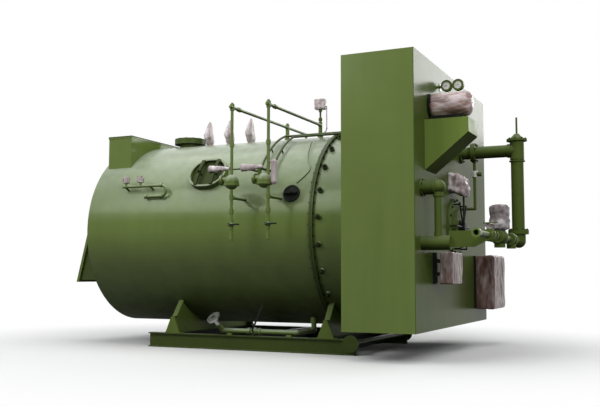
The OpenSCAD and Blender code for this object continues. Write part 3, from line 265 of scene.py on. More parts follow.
STAINS, STAIN_SHADES, STAIN_PLACES = (14.0, 6.0), (0.62, 1.0), (0.3, 0.62)
STEEL_SHEEN, STEEL_GLOSS_SHARES = (60.0, 3.0), (0.7, 1.3)
STEEL_METALLIC = 0.85
TURNING_MARKS = 240.0, 2.0
COAT_SHADES, COAT_GLOSS_SHARES = (0.8, 1.1), (0.8, 1.2)
COAT_DETAIL, COAT_GLOSS_DETAIL, COAT_BUMP_DETAIL = 5.0, 4.0, 3.0
FINE_BUMP, FINE_BUMP_DEPTH = 0.08, 0.001


def steel_material(name, colour, rough):
    """Machined bare steel with fine turning marks and light stains."""
    material, tree, shader = new_material(name)
    stains = tones(tree, noise_texture(tree, *STAINS), colour, STAIN_SHADES, STAIN_PLACES)
    tree.links.new(stains, shader.inputs["Base Color"])
    gloss_marks = noise_texture(tree, *STEEL_SHEEN)
    gloss = spread(tree, gloss_marks, *[rough * k for k in STEEL_GLOSS_SHARES])
    tree.links.new(gloss, shader.inputs["Roughness"])
    shader.inputs["Metallic"].default_value = STEEL_METALLIC
    bump(tree, shader, noise_texture(tree, *TURNING_MARKS), FINE_BUMP, FINE_BUMP_DEPTH)
    return material


def plain_material(name, colour, rough, grain, specular=0.5):
    """A matt coated surface with a fine grain in its shade."""
    material, tree, shader = new_material(name)
    shade = tones(tree, noise_texture(tree, grain, COAT_DETAIL), colour, COAT_SHADES)
    tree.links.new(shade, shader.inputs["Base Color"])
    gloss_marks = noise_texture(tree, grain * 2, COAT_GLOSS_DETAIL)
    gloss = spread(tree, gloss_marks, *[rough * k for k in COAT_GLOSS_SHARES])
    tree.links.new(gloss, shader.inputs["Roughness"])
    shader.inputs["Specular IOR Level"].default_value = specular
    bump(tree, shader, noise_texture(tree, grain * 4, COAT_BUMP_DETAIL), FINE_BUMP, FINE_BUMP_DEPTH)
    return material


# Colours, and which piece has which finish

GREEN, DARK_GREEN = (0.150, 0.212, 0.046), (0.070, 0.098, 0.026)
SOOT, STEEL, DIAL_WHITE = (0.012, 0.014, 0.011), (0.46, 0.46, 0.43), (0.95, 0.95, 0.93)
# Film tints as (dark, middle, pale); their darker and paler ends are partly painted shade and highlight
MAUVE = (0.18, 0.1, 0.088), (0.36, 0.235, 0.21), (0.7, 0.6, 0.62)
BROWN = (0.1, 0.045, 0.034), (0.2, 0.115, 0.1), (0.46, 0.36, 0.36)
PALE_PINK = (0.34, 0.25, 0.25), (0.6, 0.52, 0.53), (0.86, 0.83, 0.85)
GREY_PINK = (0.13, 0.1, 0.1), (0.32, 0.27, 0.275), (0.76, 0.72, 0.75)
ROSE = (0.22, 0.15, 0.15), (0.47, 0.37, 0.38), (0.82, 0.77, 0.79)
# Painted light: a lighter copy of the mauve tints, given to the motor's film
MAUVE_PAINTED_LIGHTER = [scaled(tint, 1.3) for tint in MAUVE]
ALONG_Z, ALONG_X, UPRIGHT, CRUSHED = (1.0, 1.0, 0.16), (0.3, 1.0, 1.0), (1.0, 1.0, 0.3), (1.0, 0.6, 0.6)
DIAGONAL = (0.45, 0.4, 0.0)
looks = {
    "green_paint": paint("green_paint", GREEN, gloss=0.2, sky_reflection=0.55),
    "dark_green_paint": paint("dark_green_paint", DARK_GREEN, gloss=0.34, sky_reflection=0.1, specular=0.12),
    "black_paint": plain_material("black_paint", SOOT, rough=0.5, grain=12.0, specular=0.12),
    "bare_steel": steel_material("bare_steel", STEEL, rough=0.34),
    "film_wrap": film_material("film_wrap", MAUVE, ALONG_Z),
    "dial_white": plain_material("dial_white", DIAL_WHITE, rough=0.3, grain=30.0),
    "clear_wrap": film_material("clear_wrap", PALE_PINK, ALONG_Z),
}
motor_film = film_material("motor_film", MAUVE_PAINTED_LIGHTER, ALONG_X, fold_highlights=0.5)
actuator_film = film_material("actuator_film", ROSE, CRUSHED)
valve_film = film_material("valve_film", GREY_PINK, CRUSHED)
cabinet_film = film_material("cabinet_film", BROWN, UPRIGHT, DIAGONAL, fold_highlights=0.22)
junction_film = film_material("junction_film", MAUVE, UPRIGHT, DIAGONAL, fold_highlights=0.3)
pipe_paint = paint("pipe_paint", scaled(GREEN, 0.72), gloss=0.32, sky_reflection=0.12, specular=0.04)
# Painted light: a lighter copy of the green paint, on the motor shelf
shelf_paint_painted_lighter = paint("shelf_paint_painted_lighter", scaled(GREEN, 1.35), gloss=0.3, sky_reflection=0.1, specular=0.02, peel=0.01)
hatch_paint = paint("hatch_paint", scaled(DARK_GREEN, 0.7), gloss=0.4, sky_reflection=0.03, specular=0.05)
saddle_paint = paint("saddle_paint", scaled(GREEN, 0.85), gloss=0.34, sky_reflection=0.08, specular=0.1)
beam_paint = paint("beam_paint", scaled(GREEN, 0.42), gloss=0.35, sky_reflection=0.2, specular=0.12)
# Painted shade: a darker copy of the green paint on the front panel, standing for the dark reflection in it
mirror_paint_painted_darker = paint("mirror_paint_painted_darker", scaled(GREEN, 0.6), gloss=0.26, sky_reflection=0.1, specular=0.035,
                     peel=0.0, wear=0.04)
bolt_paint = paint("bolt_paint", scaled(DARK_GREEN, 0.45), gloss=0.35, sky_reflection=0.05, specular=0.06)
finishes = {"front_panel": mirror_paint_painted_darker, "motor_shelf": shelf_paint_painted_lighter, "manhole_cover": hatch_paint,
            "saddles": saddle_paint, "skid_beams": beam_paint, "tow_bar": beam_paint}
finishes.update({node: pipe_paint for node in (
    "switch_heads", "pressure_switch", "dial_gauges", "gas_main", "gas_train", "pilot_line", "bypass_pipe",
    "train_support", "burner_front")})

for part in frame["record"]["subparts"]:
    mesh = nodes[part["node"]].data
    mesh.materials.clear()
    mesh.materials.append(finishes.get(part["node"], looks[part["material_slot"]]))


# Making pieces

def place_piece(name, mesh, material, smooth=True):
    """A finished mesh as a piece that rides on the plant."""
    piece = bpy.data.objects.new(name, mesh)
    bpy.context.scene.collection.objects.link(piece)
    if not mesh.materials:
        mesh.materials.append(material)
    for polygon in mesh.polygons:
        polygon.use_smooth = smooth
    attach(piece, PLANT)
    return piece


def made_mesh(name, work):
    """A mesh from the faces in work, which are then let go."""
    mesh = bpy.data.meshes.new(name)
    work.to_mesh(mesh)
    work.free()
    return mesh


def node_points(node, keep=None):
    """The vertex places of a node, or those that a test keeps."""
    return [vertex.co.copy() for vertex in nodes[node].data.vertices if keep is None or keep(vertex.co)]


WELD = 1e-5


def loose_parts(node):
    """The vertex places of each solid of a node, from the rear to the front."""
    work = bmesh.new()
    work.from_mesh(nodes[node].data)
    bmesh.ops.remove_doubles(work, verts=work.verts, dist=WELD)
    left, parts = set(work.verts), []
    for first in work.verts:
        stack, found = [first], []
        while stack:
            vertex = stack.pop()
            if vertex in left:
                left.discard(vertex)
                found.append(vertex.co.copy())
                stack += [edge.other_vert(vertex) for edge in vertex.link_edges]
        if found:
            parts.append(found)
    work.free()
    return sorted(parts, key=lambda part: min(co.x for co in part))


def hull_mesh(clouds):
    """The convex hull of each cloud of points, all in one mesh."""
    work = bmesh.new()
    for cloud in clouds:
        hull = bmesh.ops.convex_hull(work, input=[work.verts.new(point) for point in cloud])
        inner = {item for key in ("geom_interior", "geom_unused") for item in hull[key]}
        spare = [item for item in inner if isinstance(item, bmesh.types.BMVert)]
        bmesh.ops.delete(work, geom=spare, context="VERTS")
    return made_mesh("hull", work)


SEED_STEPS = 3.7, 1.9, 5.3
RIPPLE_SCALE, CREASE_REACH = 2.5, 0.5
CREST_SHARE, VALLEY_SHARE, RIPPLE_SHARE = 0.9, 1.7, 0.5


def crumple(mesh, slack, fold, stretch, seed):
    """Pull a skin into creases: sharp valleys between cells and small ripples, stretched along the axes."""
    shift = Vector([seed * step for step in SEED_STEPS])
    moves = []
    for vertex in mesh.vertices:
        place = Vector(co * k for co, k in zip(vertex.co, stretch)) / fold + shift
        reach = noise.voronoi(place)[0]
        crease = min(reach[1] - reach[0], CREASE_REACH)
        ripple = noise.noise(place * RIPPLE_SCALE)
        moves.append(vertex.normal * slack * (CREST_SHARE - VALLEY_SHARE * crease + RIPPLE_SHARE * ripple))
    for vertex, move in zip(mesh.vertices, moves):
        vertex.co += move


def skin_mesh(name, source, voxel, smooth):
    """A closed source mesh as one even skin of small faces."""
    carrier = bpy.data.objects.new(name, source)
    bpy.context.scene.collection.objects.link(carrier)
    remesh = carrier.modifiers.new("skin", "REMESH")
    remesh.mode = "VOXEL"
    remesh.voxel_size = voxel
    soften = carrier.modifiers.new("soften", "SMOOTH")
    soften.iterations = smooth
    graph = bpy.context.evaluated_depsgraph_get()
    skin = bpy.data.meshes.new_from_object(carrier.evaluated_get(graph))
    skin.name = name
    bpy.data.objects.remove(carrier)
    return skin


def bag(name, clouds, material, voxel, slack, fold, stretch=EVEN, smooth=3):
    """Film drawn round one or more clouds of points."""
    skin = skin_mesh(name, hull_mesh(clouds), voxel, smooth)
    crumple(skin, slack, fold, stretch, len(name))
    return place_piece(name, skin, material)


def sleeve(node, material, voxel, slack, fold, stretch=EVEN, smooth=5):
    """Film drawn close over the whole form of a node, in its place."""
    name = node + "_film"
    skin = skin_mesh(name, nodes[node].data.copy(), voxel, smooth)
    crumple(skin, slack, fold, stretch, len(node))
    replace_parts(place_piece(name, skin, material), node)


# Packing film on the boxes, the regulator and the actuator

BOX_FOLDS = (1.0, 1.0, 0.35)
WRAPPED_BOXES = [("junction_box", 0.010, junction_film), ("control_cabinet", 0.012, cabinet_film)]
for boxed, voxel, film in WRAPPED_BOXES:
    box_film = bag(boxed + "_film", [node_points(boxed)], film, voxel, slack=0.008, fold=0.11,
                   stretch=BOX_FOLDS, smooth=1)
    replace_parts(box_film, boxed)

regulator_film = bag("gas_regulator_film", [node_points("gas_regulator")], valve_film,
                     voxel=0.009, slack=0.014, fold=0.11)
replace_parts(regulator_film, "gas_regulator")


def settled(node, shares, lean, shift):
    """A node's points drawn in about its middle and let down toward its front."""
    low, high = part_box(node)
    middle = (low + high) / 2
    points = []
    for co in node_points(node):
        off = co - middle
        sunk = Vector((off.x * shares.x, off.y * shares.y, off.z * shares.z - off.x * lean))
        points.append(middle + shift + sunk)
    return points


ACTUATOR_SHARES, ACTUATOR_LEAN = Vector((0.88, 0.85, 0.74)), 0.35
ACTUATOR_SHIFT = Vector((-0.012, -0.055, -0.018))
actuator_points = settled("burner_actuator", ACTUATOR_SHARES, ACTUATOR_LEAN, ACTUATOR_SHIFT)
actuator_bag = bag("burner_actuator_film", [actuator_points], actuator_film,
                   voxel=0.010, slack=0.022, fold=0.11)
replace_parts(actuator_bag, "burner_actuator")


# Packing film on the fan motor, which sags below its frame and domes at its end

motor_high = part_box("fan_motor")[1]
shelf_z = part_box("motor_shelf")[1].z
flange_low, flange_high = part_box("motor_flange")
motor_axis = (flange_low + flange_high) / 2
MOTOR_FRAME_R = 0.114
MOTOR_FILM_SAG, MOTOR_FILM_DOME, MOTOR_DOME_SHARE = Vector((0, 0, -0.018)), 0.02, 0.72
MOTOR_FOLDS = (0.4, 1.0, 1.0)


def on_motor_frame(co):
    """Whether a place of the motor is on its round frame."""
    return math.hypot(co.y - motor_axis.y, co.z - motor_axis.z) < MOTOR_FRAME_R


frame_points = node_points("fan_motor", on_motor_frame)
motor_end = max(co.x for co in frame_points)
dome_points = [Vector((motor_end + MOTOR_FILM_DOME,
                       motor_axis.y + (co.y - motor_axis.y) * MOTOR_DOME_SHARE,
                       motor_axis.z + (co.z - motor_axis.z) * MOTOR_DOME_SHARE))
               for co in frame_points if co.x > motor_end - MOTOR_FILM_DOME]
motor_cloud = frame_points + dome_points + [co + MOTOR_FILM_SAG for co in frame_points]
motor_skin = bag("fan_motor_film", [motor_cloud], motor_film, voxel=0.009, slack=0.008, fold=0.075,
                 stretch=MOTOR_FOLDS, smooth=4)
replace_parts(motor_skin, "fan_motor")


# Pale film on the fittings of the shell and the small valves

def slices(points, shares):
    """A cloud of points cut into level layers that overlap, by shares of its height."""
    low, high = min(co.z for co in points), max(co.z for co in points)
    return [[co for co in points if start <= (co.z - low) / (high - low) <= end] for start, end in shares]


def grown(points, share):
    """A cloud of points made larger about its middle."""
    middle = sum(points, Vector()) / len(points)
    return [middle + (co - middle) * share for co in points]


def top_points(node, depth):
    """The vertex places of a node that lie within a depth of its top."""
    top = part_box(node)[1].z
    return node_points(node, lambda co: co.z > top - depth)


clear = looks["clear_wrap"]
VALVE_LAYERS = (0.0, 0.3), (0.18, 0.62), (0.5, 1.0)
valve_clouds = [cloud for valve in loose_parts("safety_valves") for cloud in slices(valve, VALVE_LAYERS)]
valve_bags = bag("safety_valves_film", valve_clouds, clear, voxel=0.008, slack=0.004, fold=0.05, smooth=8)
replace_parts(valve_bags, "safety_valves")

HEAD_DEPTH = 0.075
for k, head in enumerate(loose_parts("switch_heads")):
    head_top = max(co.z for co in head)
    head_points = [co for co in head if co.z > head_top - HEAD_DEPTH]
    bag(f"switch_film_{k + 1}", [head_points], clear, voxel=0.006, slack=0.006, fold=0.06, smooth=1)

GLASS_FOLDS = (1.0, 1.0, 0.14)
sleeve("gauge_glass", clear, voxel=0.007, slack=0.005, fold=0.05, stretch=GLASS_FOLDS)

SWITCH_BOX_H, SWITCH_FILM_SHARE = 0.12, 1.12
switch_points = grown(top_points("pressure_switch", SWITCH_BOX_H), SWITCH_FILM_SHARE)
bag("pressure_switch_film", [switch_points], clear, voxel=0.007, slack=0.006, fold=0.06)

CONTROL_H = 0.075
control_points = top_points("control_manifold", CONTROL_H)
control_split = (min(co.x for co in control_points) + max(co.x for co in control_points)) / 2
for k, side in enumerate((-1, 1)):
    side_points = [co for co in control_points if (co.x - control_split) * side > 0]
    bag(f"control_film_{k + 1}", [side_points], clear, voxel=0.006, slack=0.005, fold=0.05)

SPOT_REACH = 0.07
WRAPPED_SPOTS = [("pilot_valve_film", "pilot_line", Vector((2.340, 0.300, 2.020))),
                 ("shut_valve_film", "gas_train", Vector((2.828, -1.160, 1.352)))]
for name, node, spot in WRAPPED_SPOTS:
    spot_points = [co for co in node_points(node) if (co - spot).length < SPOT_REACH]
    bag(name, [spot_points], clear, voxel=0.006, slack=0.008, fold=0.05)


# Rails under the motor, black and along its whole length, so they also paint the shadow line under its film

BOX_QUADS = (0, 1, 3, 2), (4, 6, 7, 5), (0, 4, 5, 1), (2, 3, 7, 6), (0, 2, 6, 4), (1, 5, 7, 3)
RAIL_OFF, RAIL_HALF_W = 0.04, 0.02
FOOT_HALF_W, FOOT_H = 0.035, 0.014
RAIL_CLEARANCE, RAIL_SHORT_OF_END, RAIL_BELOW_AXIS = 0.002, 0.06, 0.115


def box_faces(work, low, high):
    """A block between two corners, added to a mesh in work."""
    verts = [work.verts.new((x, y, z))
             for x in (low[0], high[0]) for y in (low[1], high[1]) for z in (low[2], high[2])]
    for quad in BOX_QUADS:
        work.faces.new([verts[k] for k in quad])


def motor_base_and_shadow_line(name):
    """Two footed rails on the shelf that carry the wrapped motor, lower under its flange than past it."""
    work = bmesh.new()
    spans = ((face_x + RAIL_CLEARANCE, flange_high.x, flange_low.z - RAIL_CLEARANCE),
             (flange_high.x + RAIL_CLEARANCE, motor_high.x - RAIL_SHORT_OF_END,
              motor_axis.z - RAIL_BELOW_AXIS))
    foot_z = shelf_z + FOOT_H
    for side in (-1, 1):
        rail = motor_axis.y + side * RAIL_OFF
        for x0, x1, top in spans:
            box_faces(work, (x0, rail - FOOT_HALF_W, shelf_z), (x1, rail + FOOT_HALF_W, foot_z))
            box_faces(work, (x0, rail - RAIL_HALF_W, foot_z), (x1, rail + RAIL_HALF_W, top))
    # Painted shade: black rails from the panel to near the motor's end stand for the dark line of shadow
    # under the film
    piece = place_piece(name, made_mesh(name, work), looks["black_paint"], smooth=False)
    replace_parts(piece, "fan_motor")


motor_base_and_shadow_line("motor_base_and_shadow_line")


# Bolts and nuts: each is stacked rings of (radius share, height share, sides)

WASHER = (1.45, 0.0, 24), (1.45, 0.22, 24)
HEAD = (1.0, 0.2, 6), (1.0, 0.85, 6), (0.86, 1.0, 6)
LOW_HEAD = (1.0, 0.1, 6), (1.0, 0.42, 6), (0.86, 0.5, 6)
STUD = (0.5, 0.9, 12), (0.5, 1.35, 12), (0.42, 1.45, 12)
FORWARD, BACKWARD, UP = (1, 0, 0), (-1, 0, 0), (0, 0, 1)


def circle(radius, count, start=0.0):
    """Pairs of places on a circle about zero."""
    angles = [start + 2 * math.pi * k / count for k in range(count)]
    return [(radius * math.cos(angle), radius * math.sin(angle)) for angle in angles]


def circle_x(x, y, z, radius, count, start=0.0):
    """Places on a circle that faces X."""
    return [(x, y + across, z + up) for across, up in circle(radius, count, start)]


def circle_z(x, y, z, radius, count, start=0.0):
    """Places on a circle that faces Z."""
    return [(x + along, y + across, z) for along, across in circle(radius, count, start)]


def ring_faces(work, last, ring):
    """A band of faces between two rings of as many vertices."""
    sides = len(ring)
    for k in range(sides):
        work.faces.new((last[k], last[k - sides + 1], ring[k - sides + 1], ring[k]))


def hex_bolt(work, place, axis, radius, stacks):
    """A bolt's stacks of rings along an axis, added to a mesh in work."""
    at = Matrix.Translation(place) @ axis.to_track_quat("Z", "Y").to_matrix().to_4x4()
    for stack in stacks:
        last = None
        for share, height, sides in stack:
            corners = [Vector((x, y, radius * height)) for x, y in circle(radius * share, sides)]
            ring = [work.verts.new(at @ corner) for corner in corners]
            if last:
                ring_faces(work, last, ring)
            last = ring
        work.faces.new(last)


def bolts(name, places, radius, stacks=(WASHER, HEAD, STUD)):
    """One piece that holds a set of bolts, each given by its place and axis."""
    work = bmesh.new()
    for place, axis in places:
        hex_bolt(work, Vector(place), Vector(axis), radius, stacks)
    place_piece(name, made_mesh(name, work), bolt_paint, smooth=False)


def facing_to(axis, places):
    """Bolt places that share an axis."""
    return [(place, axis) for place in places]


RING_BOLTS = 60
ring_low, ring_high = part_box("flange_ring")
ring_bolt_r = (shell_r + ring_high.y) / 2
bolts("ring_bolts",
      facing_to(FORWARD, circle_x(ring_high.x, 0, axis_z, ring_bolt_r, RING_BOLTS))
      + facing_to(BACKWARD, circle_x(ring_low.x, 0, axis_z, ring_bolt_r, RING_BOLTS)), radius=0.0115)

OUTLET_BOLTS, OUTLET_BOLT_R = 12, 0.181
outlet_low, outlet_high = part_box("outlet_cover")
outlet_x = (outlet_low.x + outlet_high.x) / 2
outlet_places = circle_z(outlet_x, 0, outlet_high.z, OUTLET_BOLT_R, OUTLET_BOLTS, math.pi / OUTLET_BOLTS)
bolts("outlet_bolts", facing_to(UP, outlet_places), radius=0.012, stacks=(LOW_HEAD,))

BOSS_FROM, BOSS_H, BOSS_COUNT, BOSS_FIRST, BOSS_LOW = 0.061, 0.03, 24, 4.0, -0.7
boss_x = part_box("front_barrel")[0].x + BOSS_FROM
boss_angles = [math.radians(BOSS_FIRST + k * 360 / BOSS_COUNT) for k in range(BOSS_COUNT)]
boss_normals = [Vector((0, -math.cos(a), math.sin(a))) for a in boss_angles if math.sin(a) > BOSS_LOW]
boss_middle = Vector((boss_x, 0, axis_z))
boss_places = [(boss_middle + normal * (shell_r + BOSS_H), normal) for normal in boss_normals]
bolts("boss_nuts", boss_places, radius=0.0205)

GAS_Y, GAS_Z, GAS_R, GAS_FLANGE_OUT, GAS_FLANGE_T, GAS_BOLTS = 0.3, 2.27, 0.0705, 0.157, 0.024, 8
RISER_EDGE_SHARE, FLANGE_BOLT_SHARE, TEE_TOP_SHARE = 1.62, 1.37, 1.5
gas_low, gas_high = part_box("gas_main")
riser_x = gas_high.x - GAS_R * RISER_EDGE_SHARE
gas_bolt_r = GAS_R * FLANGE_BOLT_SHARE
tee_top_z = GAS_Z + GAS_R * TEE_TOP_SHARE + GAS_FLANGE_T
gas_places = []
for x, axis in [(GAS_FLANGE_T, FORWARD), (GAS_FLANGE_OUT + GAS_FLANGE_T, FORWARD),
                (GAS_FLANGE_OUT - GAS_FLANGE_T, BACKWARD)]:
    flange_places = circle_x(face_x + x, GAS_Y, GAS_Z, gas_bolt_r, GAS_BOLTS, math.pi / GAS_BOLTS)
    gas_places += facing_to(axis, flange_places)
for z in (tee_top_z, gas_low.z + GAS_FLANGE_T):
    gas_places += facing_to(UP, circle_z(riser_x, GAS_Y, z, gas_bolt_r, GAS_BOLTS))
bolts("gas_main_bolts", gas_places, radius=0.011)

BURNER_BOLTS, BURNER_PLATE_T, BURNER_BOLT_SHARE = 16, 0.024, 0.92
burner_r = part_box("burner_front")[1].y
burner_places = circle_x(face_x + BURNER_PLATE_T, 0, axis_z, burner_r * BURNER_BOLT_SHARE, BURNER_BOLTS)
bolts("burner_bolts", facing_to(FORWARD, burner_places), radius=0.012)

BYPASS_Y, BYPASS_Z, BYPASS_R, BYPASS_FLANGE_T = -1.29, 1.722, 0.074, 0.018
BYPASS_BOLTS, BYPASS_BOLT_SHARE = 8, 1.1
bypass_places = circle_x(face_x + BYPASS_FLANGE_T, BYPASS_Y, BYPASS_Z, BYPASS_R * BYPASS_BOLT_SHARE,
                         BYPASS_BOLTS, math.pi / BYPASS_BOLTS)
bolts("bypass_bolts", facing_to(FORWARD, bypass_places), radius=0.008)

FLUE_EDGE, FLUE_SPANS_X, FLUE_SPANS_Y = 0.024, 3, 12


def evenly(low, high, spans):
    """Places from one edge to the other, with the edge distance kept at both."""
    reach = high - low - 2 * FLUE_EDGE
    return [low + FLUE_EDGE + k * reach / spans for k in range(spans + 1)]


flue_low, flue_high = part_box("flue_cover")
flue_xs = evenly(flue_low.x, flue_high.x, FLUE_SPANS_X)
flue_ys = evenly(flue_low.y, flue_high.y, FLUE_SPANS_Y)
flue_places = [(x, y, flue_high.z) for y in (flue_ys[0], flue_ys[-1]) for x in flue_xs]
flue_places += [(x, y, flue_high.z) for x in (flue_xs[0], flue_xs[-1]) for y in flue_ys[1:-1]]
bolts("flue_bolts", facing_to(UP, flue_places), radius=0.009, stacks=(LOW_HEAD,))


# Dials: shares of the face's radius, and heights in metres above it

DIAL_FACE_R, DIAL_SINK, DIAL_LIFT = 0.042, 0.008, 0.001
DIAL_SIDES, HUB_SIDES, HUB_SHARE = 48, 16, 0.1
TICK_SPANS, TICKS_A_LONG_ONE, TICK_FIRST_DEG, TICK_SWEEP_DEG = 20, 4, 225, 270
TICK_OUTER, LONG_TICK, SHORT_TICK = 0.92, (0.74, 0.018), (0.84, 0.009)
POINTER = (-0.22, -0.05), (0.8, -0.012), (0.8, 0.012), (-0.22, 0.05)
POINTER_DEG = 200
TICK_LIFT, POINTER_LIFT, HUB_LIFT = 0.0006, 0.0015, 0.002
FACE_COLOUR, MARK_COLOUR = 0, 1


def patch(work, points, height, colour):
    """A flat face at a height, added to a mesh in work."""
    polygon = work.faces.new([work.verts.new((x, y, height)) for x, y in points])
    polygon.material_index = colour


def turned(points, radius, degrees):
    """Points given as shares of a radius, turned about the middle."""
    c, s = math.cos(math.radians(degrees)), math.sin(math.radians(degrees))
    return [(radius * (x * c - y * s), radius * (x * s + y * c)) for x, y in points]


def dial(name, centre, radius):
    """A dial face turned to the near side, with ticks, a pointer and a hub."""
    work = bmesh.new()
    patch(work, circle(radius, DIAL_SIDES), 0.0, FACE_COLOUR)
    for k in range(TICK_SPANS + 1):
        inner, half = SHORT_TICK if k % TICKS_A_LONG_ONE else LONG_TICK
        tick = [(inner, -half), (TICK_OUTER, -half), (TICK_OUTER, half), (inner, half)]
        degrees = TICK_FIRST_DEG - TICK_SWEEP_DEG * k / TICK_SPANS
        patch(work, turned(tick, radius, degrees), TICK_LIFT, MARK_COLOUR)
    patch(work, turned(POINTER, radius, POINTER_DEG), POINTER_LIFT, MARK_COLOUR)
    patch(work, circle(radius * HUB_SHARE, HUB_SIDES), HUB_LIFT, MARK_COLOUR)
    work.transform(Matrix.Translation(centre) @ Matrix.Rotation(math.radians(90), 4, "X"))
    mesh = made_mesh(name, work)
    mesh.materials.append(looks["dial_white"])
    mesh.materials.append(looks["black_paint"])
    place_piece(name, mesh, looks["dial_white"], smooth=False)


dials_low, dials_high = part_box("dial_gauges")
dial_r = (dials_high.z - dials_low.z) / 2
dial_y = dials_low.y + DIAL_SINK - DIAL_LIFT
for k, x in enumerate((dials_low.x + dial_r, dials_high.x - dial_r)):
    dial(f"dial_face_{k + 1}", Vector((x, dial_y, dials_low.z + dial_r)), DIAL_FACE_R)


# The thin tube that lies on the shell, through stops of (place along the shell, degrees above its axis)

TUBE_R, TUBE_SIDES, TUBE_STEPS = 0.006, 10, 10
TUBE_STOPS = [(0.632, 63.0), (0.723, 43.0), (0.80, 33.0), (0.673, 24.0)]


def on_shell(x, degrees, lift):
    """A place on the near side of the shell, at an angle above its axis."""
    reach, angle = shell_r + lift, math.radians(degrees)
    return Vector((x, -reach * math.cos(angle), axis_z + reach * math.sin(angle)))


def smooth_path(stops, steps):
    """Pairs on a smooth curve through stops, some steps from each to the next."""
    last = len(stops) - 1
    path = []
    for k in range(last):
        before, start, end, after = [stops[min(max(j, 0), last)] for j in range(k - 1, k + 3)]
        for step in range(steps):
            t = step / steps
            path.append([0.5 * (2 * b + (c - a) * t + (2 * a - 5 * b + 4 * c - d) * t ** 2
                                + (3 * b - a - 3 * c + d) * t ** 3)
                         for a, b, c, d in zip(before, start, end, after)])
    return path


def tube(name, points, radius, material):
    """A round tube along points on the shell, closed at its ends."""
    work = bmesh.new()
    last, end = None, len(points) - 1
    for k, point in enumerate(points):
        along = (points[min(k + 1, end)] - points[max(k - 1, 0)]).normalized()
        out = (point - Vector((point.x, 0, axis_z))).normalized()
        across = along.cross(out).normalized()
        ring = [work.verts.new(point + across * u + out * v) for u, v in circle(radius, TUBE_SIDES)]
        if last:
            ring_faces(work, last, ring)
        if k in (0, end):
            work.faces.new(ring)
        last = ring
    bmesh.ops.recalc_face_normals(work, faces=work.faces)
    place_piece(name, made_mesh(name, work), material)


tube_points = [on_shell(x, degrees, TUBE_R) for x, degrees in smooth_path(TUBE_STOPS, TUBE_STEPS)]
tube("capillary_tube", tube_points, TUBE_R, looks["green_paint"])


# Floor and background

WHITE = (1.0, 1.0, 1.0, 1.0)
FLOOR_SIZE, FADE_FROM, FADE_TO = 60.0, 2.6, 5.5
FLOOR_NEAR, FLOOR_BOUNCE = (0.93, 0.93, 0.93, 1.0), (0.12, 0.12, 0.11, 1.0)
FILL_COLOUR, FILL_STRENGTH = (0.95, 0.98, 1.0, 1.0), 0.24


def light_path_factor(tree):
    """1 for camera, glossy and transmission rays, which see the pale background."""
    path = add(tree, "ShaderNodeLightPath")
    first = add(tree, "ShaderNodeMath", operation="MAXIMUM")
    second = add(tree, "ShaderNodeMath", operation="MAXIMUM")
    tree.links.new(path.outputs["Is Camera Ray"], first.inputs[0])
    tree.links.new(path.outputs["Is Glossy Ray"], first.inputs[1])
    tree.links.new(first.outputs[0], second.inputs[0])
    tree.links.new(path.outputs["Is Transmission Ray"], second.inputs[1])
    return second.outputs[0]


def mixed_shader(tree, factor, first, second):
    """A mix of two shader sockets by a factor."""
    node = add(tree, "ShaderNodeMixShader")
    for socket, source in zip(node.inputs, (factor, first, second)):
        tree.links.new(source, socket)
    return node.outputs[0]


def floor_material():
    """A pale floor that keeps the shadow near the object and goes over to white further off."""
    material = bpy.data.materials.new("floor")
    material.use_nodes = True
    tree = material.node_tree
    tree.nodes.clear()
    geometry = add(tree, "ShaderNodeNewGeometry")
    length = add(tree, "ShaderNodeVectorMath", operation="LENGTH")
    fade = add(tree, "ShaderNodeMapRange", interpolation_type="SMOOTHSTEP")
    fade.inputs["From Min"].default_value = FADE_FROM
    fade.inputs["From Max"].default_value = FADE_TO
    near = add(tree, "ShaderNodeBsdfDiffuse", color=FLOOR_NEAR)
    far = add(tree, "ShaderNodeEmission", color=WHITE, strength=1.0)
    bounce = add(tree, "ShaderNodeBsdfDiffuse", color=FLOOR_BOUNCE)
    tree.links.new(geometry.outputs["Position"], length.inputs[0])
    tree.links.new(length.outputs["Value"], fade.inputs["Value"])
    shown = mixed_shader(tree, fade.outputs["Result"], near.outputs[0], far.outputs[0])
    either = mixed_shader(tree, light_path_factor(tree), bounce.outputs[0], shown)
    output = add(tree, "ShaderNodeOutputMaterial")
    tree.links.new(either, output.inputs["Surface"])
    return material


floor_mesh = bpy.data.meshes.new("floor")
floor_corners = [(-FLOOR_SIZE, -FLOOR_SIZE, 0), (FLOOR_SIZE, -FLOOR_SIZE, 0),
                 (FLOOR_SIZE, FLOOR_SIZE, 0), (-FLOOR_SIZE, FLOOR_SIZE, 0)]
floor_mesh.from_pydata(floor_corners, [], [(0, 1, 2, 3)])
floor_mesh.materials.append(floor_material())
floor = bpy.data.objects.new("floor", floor_mesh)
bpy.context.scene.collection.objects.link(floor)

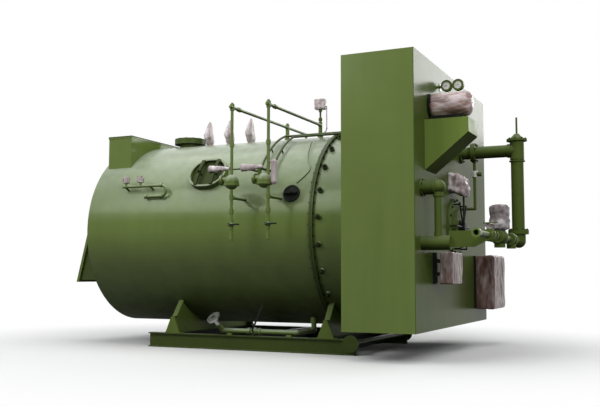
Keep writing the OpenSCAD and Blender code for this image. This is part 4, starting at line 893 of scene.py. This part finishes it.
world = bpy.data.worlds.new("studio")
bpy.context.scene.world = world
world.use_nodes = True
sky = world.node_tree
sky.nodes.clear()
seen = add(sky, "ShaderNodeBackground", color=WHITE, strength=1.0)
fill = add(sky, "ShaderNodeBackground", color=FILL_COLOUR, strength=FILL_STRENGTH)
sky_out = add(sky, "ShaderNodeOutputWorld")
sky_mix = mixed_shader(sky, light_path_factor(sky), fill.outputs[0], seen.outputs[0])
sky.links.new(sky_mix, sky_out.inputs["Surface"])


# Lamps: name, place, what it is turned to, width, height and brightness

LAMPS = [
    ("overhead", (-0.5, -1.0, 8.5), (-0.5, 0.0, 0.0), 11.0, 7.0, 1.7),
    ("near_side", (-4.6, -8.4, 6.8), (-0.6, -1.1, 1.5), 6.6, 4.2, 4.5),
    ("far_side", (4.85, 8.0, 5.6), (2.2, 0.0, 2.6), 3.3, 3.9, 6.5),
    ("front", (7.5, -7.0, 5.0), (2.0, -1.0, 1.6), 4.0, 4.0, 5.0),
]


def softbox(name, place, target, width, height, radiance):
    """A rectangular area lamp of a given brightness, turned to a target."""
    lamp = bpy.data.lights.new(name, "AREA")
    lamp.shape = "RECTANGLE"
    lamp.size, lamp.size_y = width, height
    lamp.energy = radiance * math.pi * width * height
    holder = bpy.data.objects.new(name, lamp)
    bpy.context.scene.collection.objects.link(holder)
    holder.location = place
    holder.rotation_euler = (Vector(target) - Vector(place)).to_track_quat("-Z", "Y").to_euler()


for lamp_values in LAMPS:
    softbox(*lamp_values)


# Camera

CAMERA_PLACE = Vector((4.5674, -9.2553, 0.8526))
YAW, PITCH, ROLL = math.radians(25.0447), math.radians(4.9054), math.radians(0.1345)
LENS_MM, SENSOR_MM = 49.94, 36.0
ahead = Vector((-math.sin(YAW) * math.cos(PITCH), math.cos(YAW) * math.cos(PITCH), math.sin(PITCH)))
level = ahead.cross(Vector((0, 0, 1))).normalized()
upright = level.cross(ahead)
right = level * math.cos(ROLL) + upright * math.sin(ROLL)
above = upright * math.cos(ROLL) - level * math.sin(ROLL)
camera_data = bpy.data.cameras.new("camera")
camera_data.sensor_width = SENSOR_MM
camera_data.lens = LENS_MM
camera = bpy.data.objects.new("camera", camera_data)
bpy.context.scene.collection.objects.link(camera)
camera_turn = Matrix((right, above, -ahead)).transposed().to_4x4()
camera.matrix_world = Matrix.Translation(CAMERA_PLACE) @ camera_turn
bpy.context.scene.camera = camera
bpy.context.scene.view_settings.view_transform = "Standard"
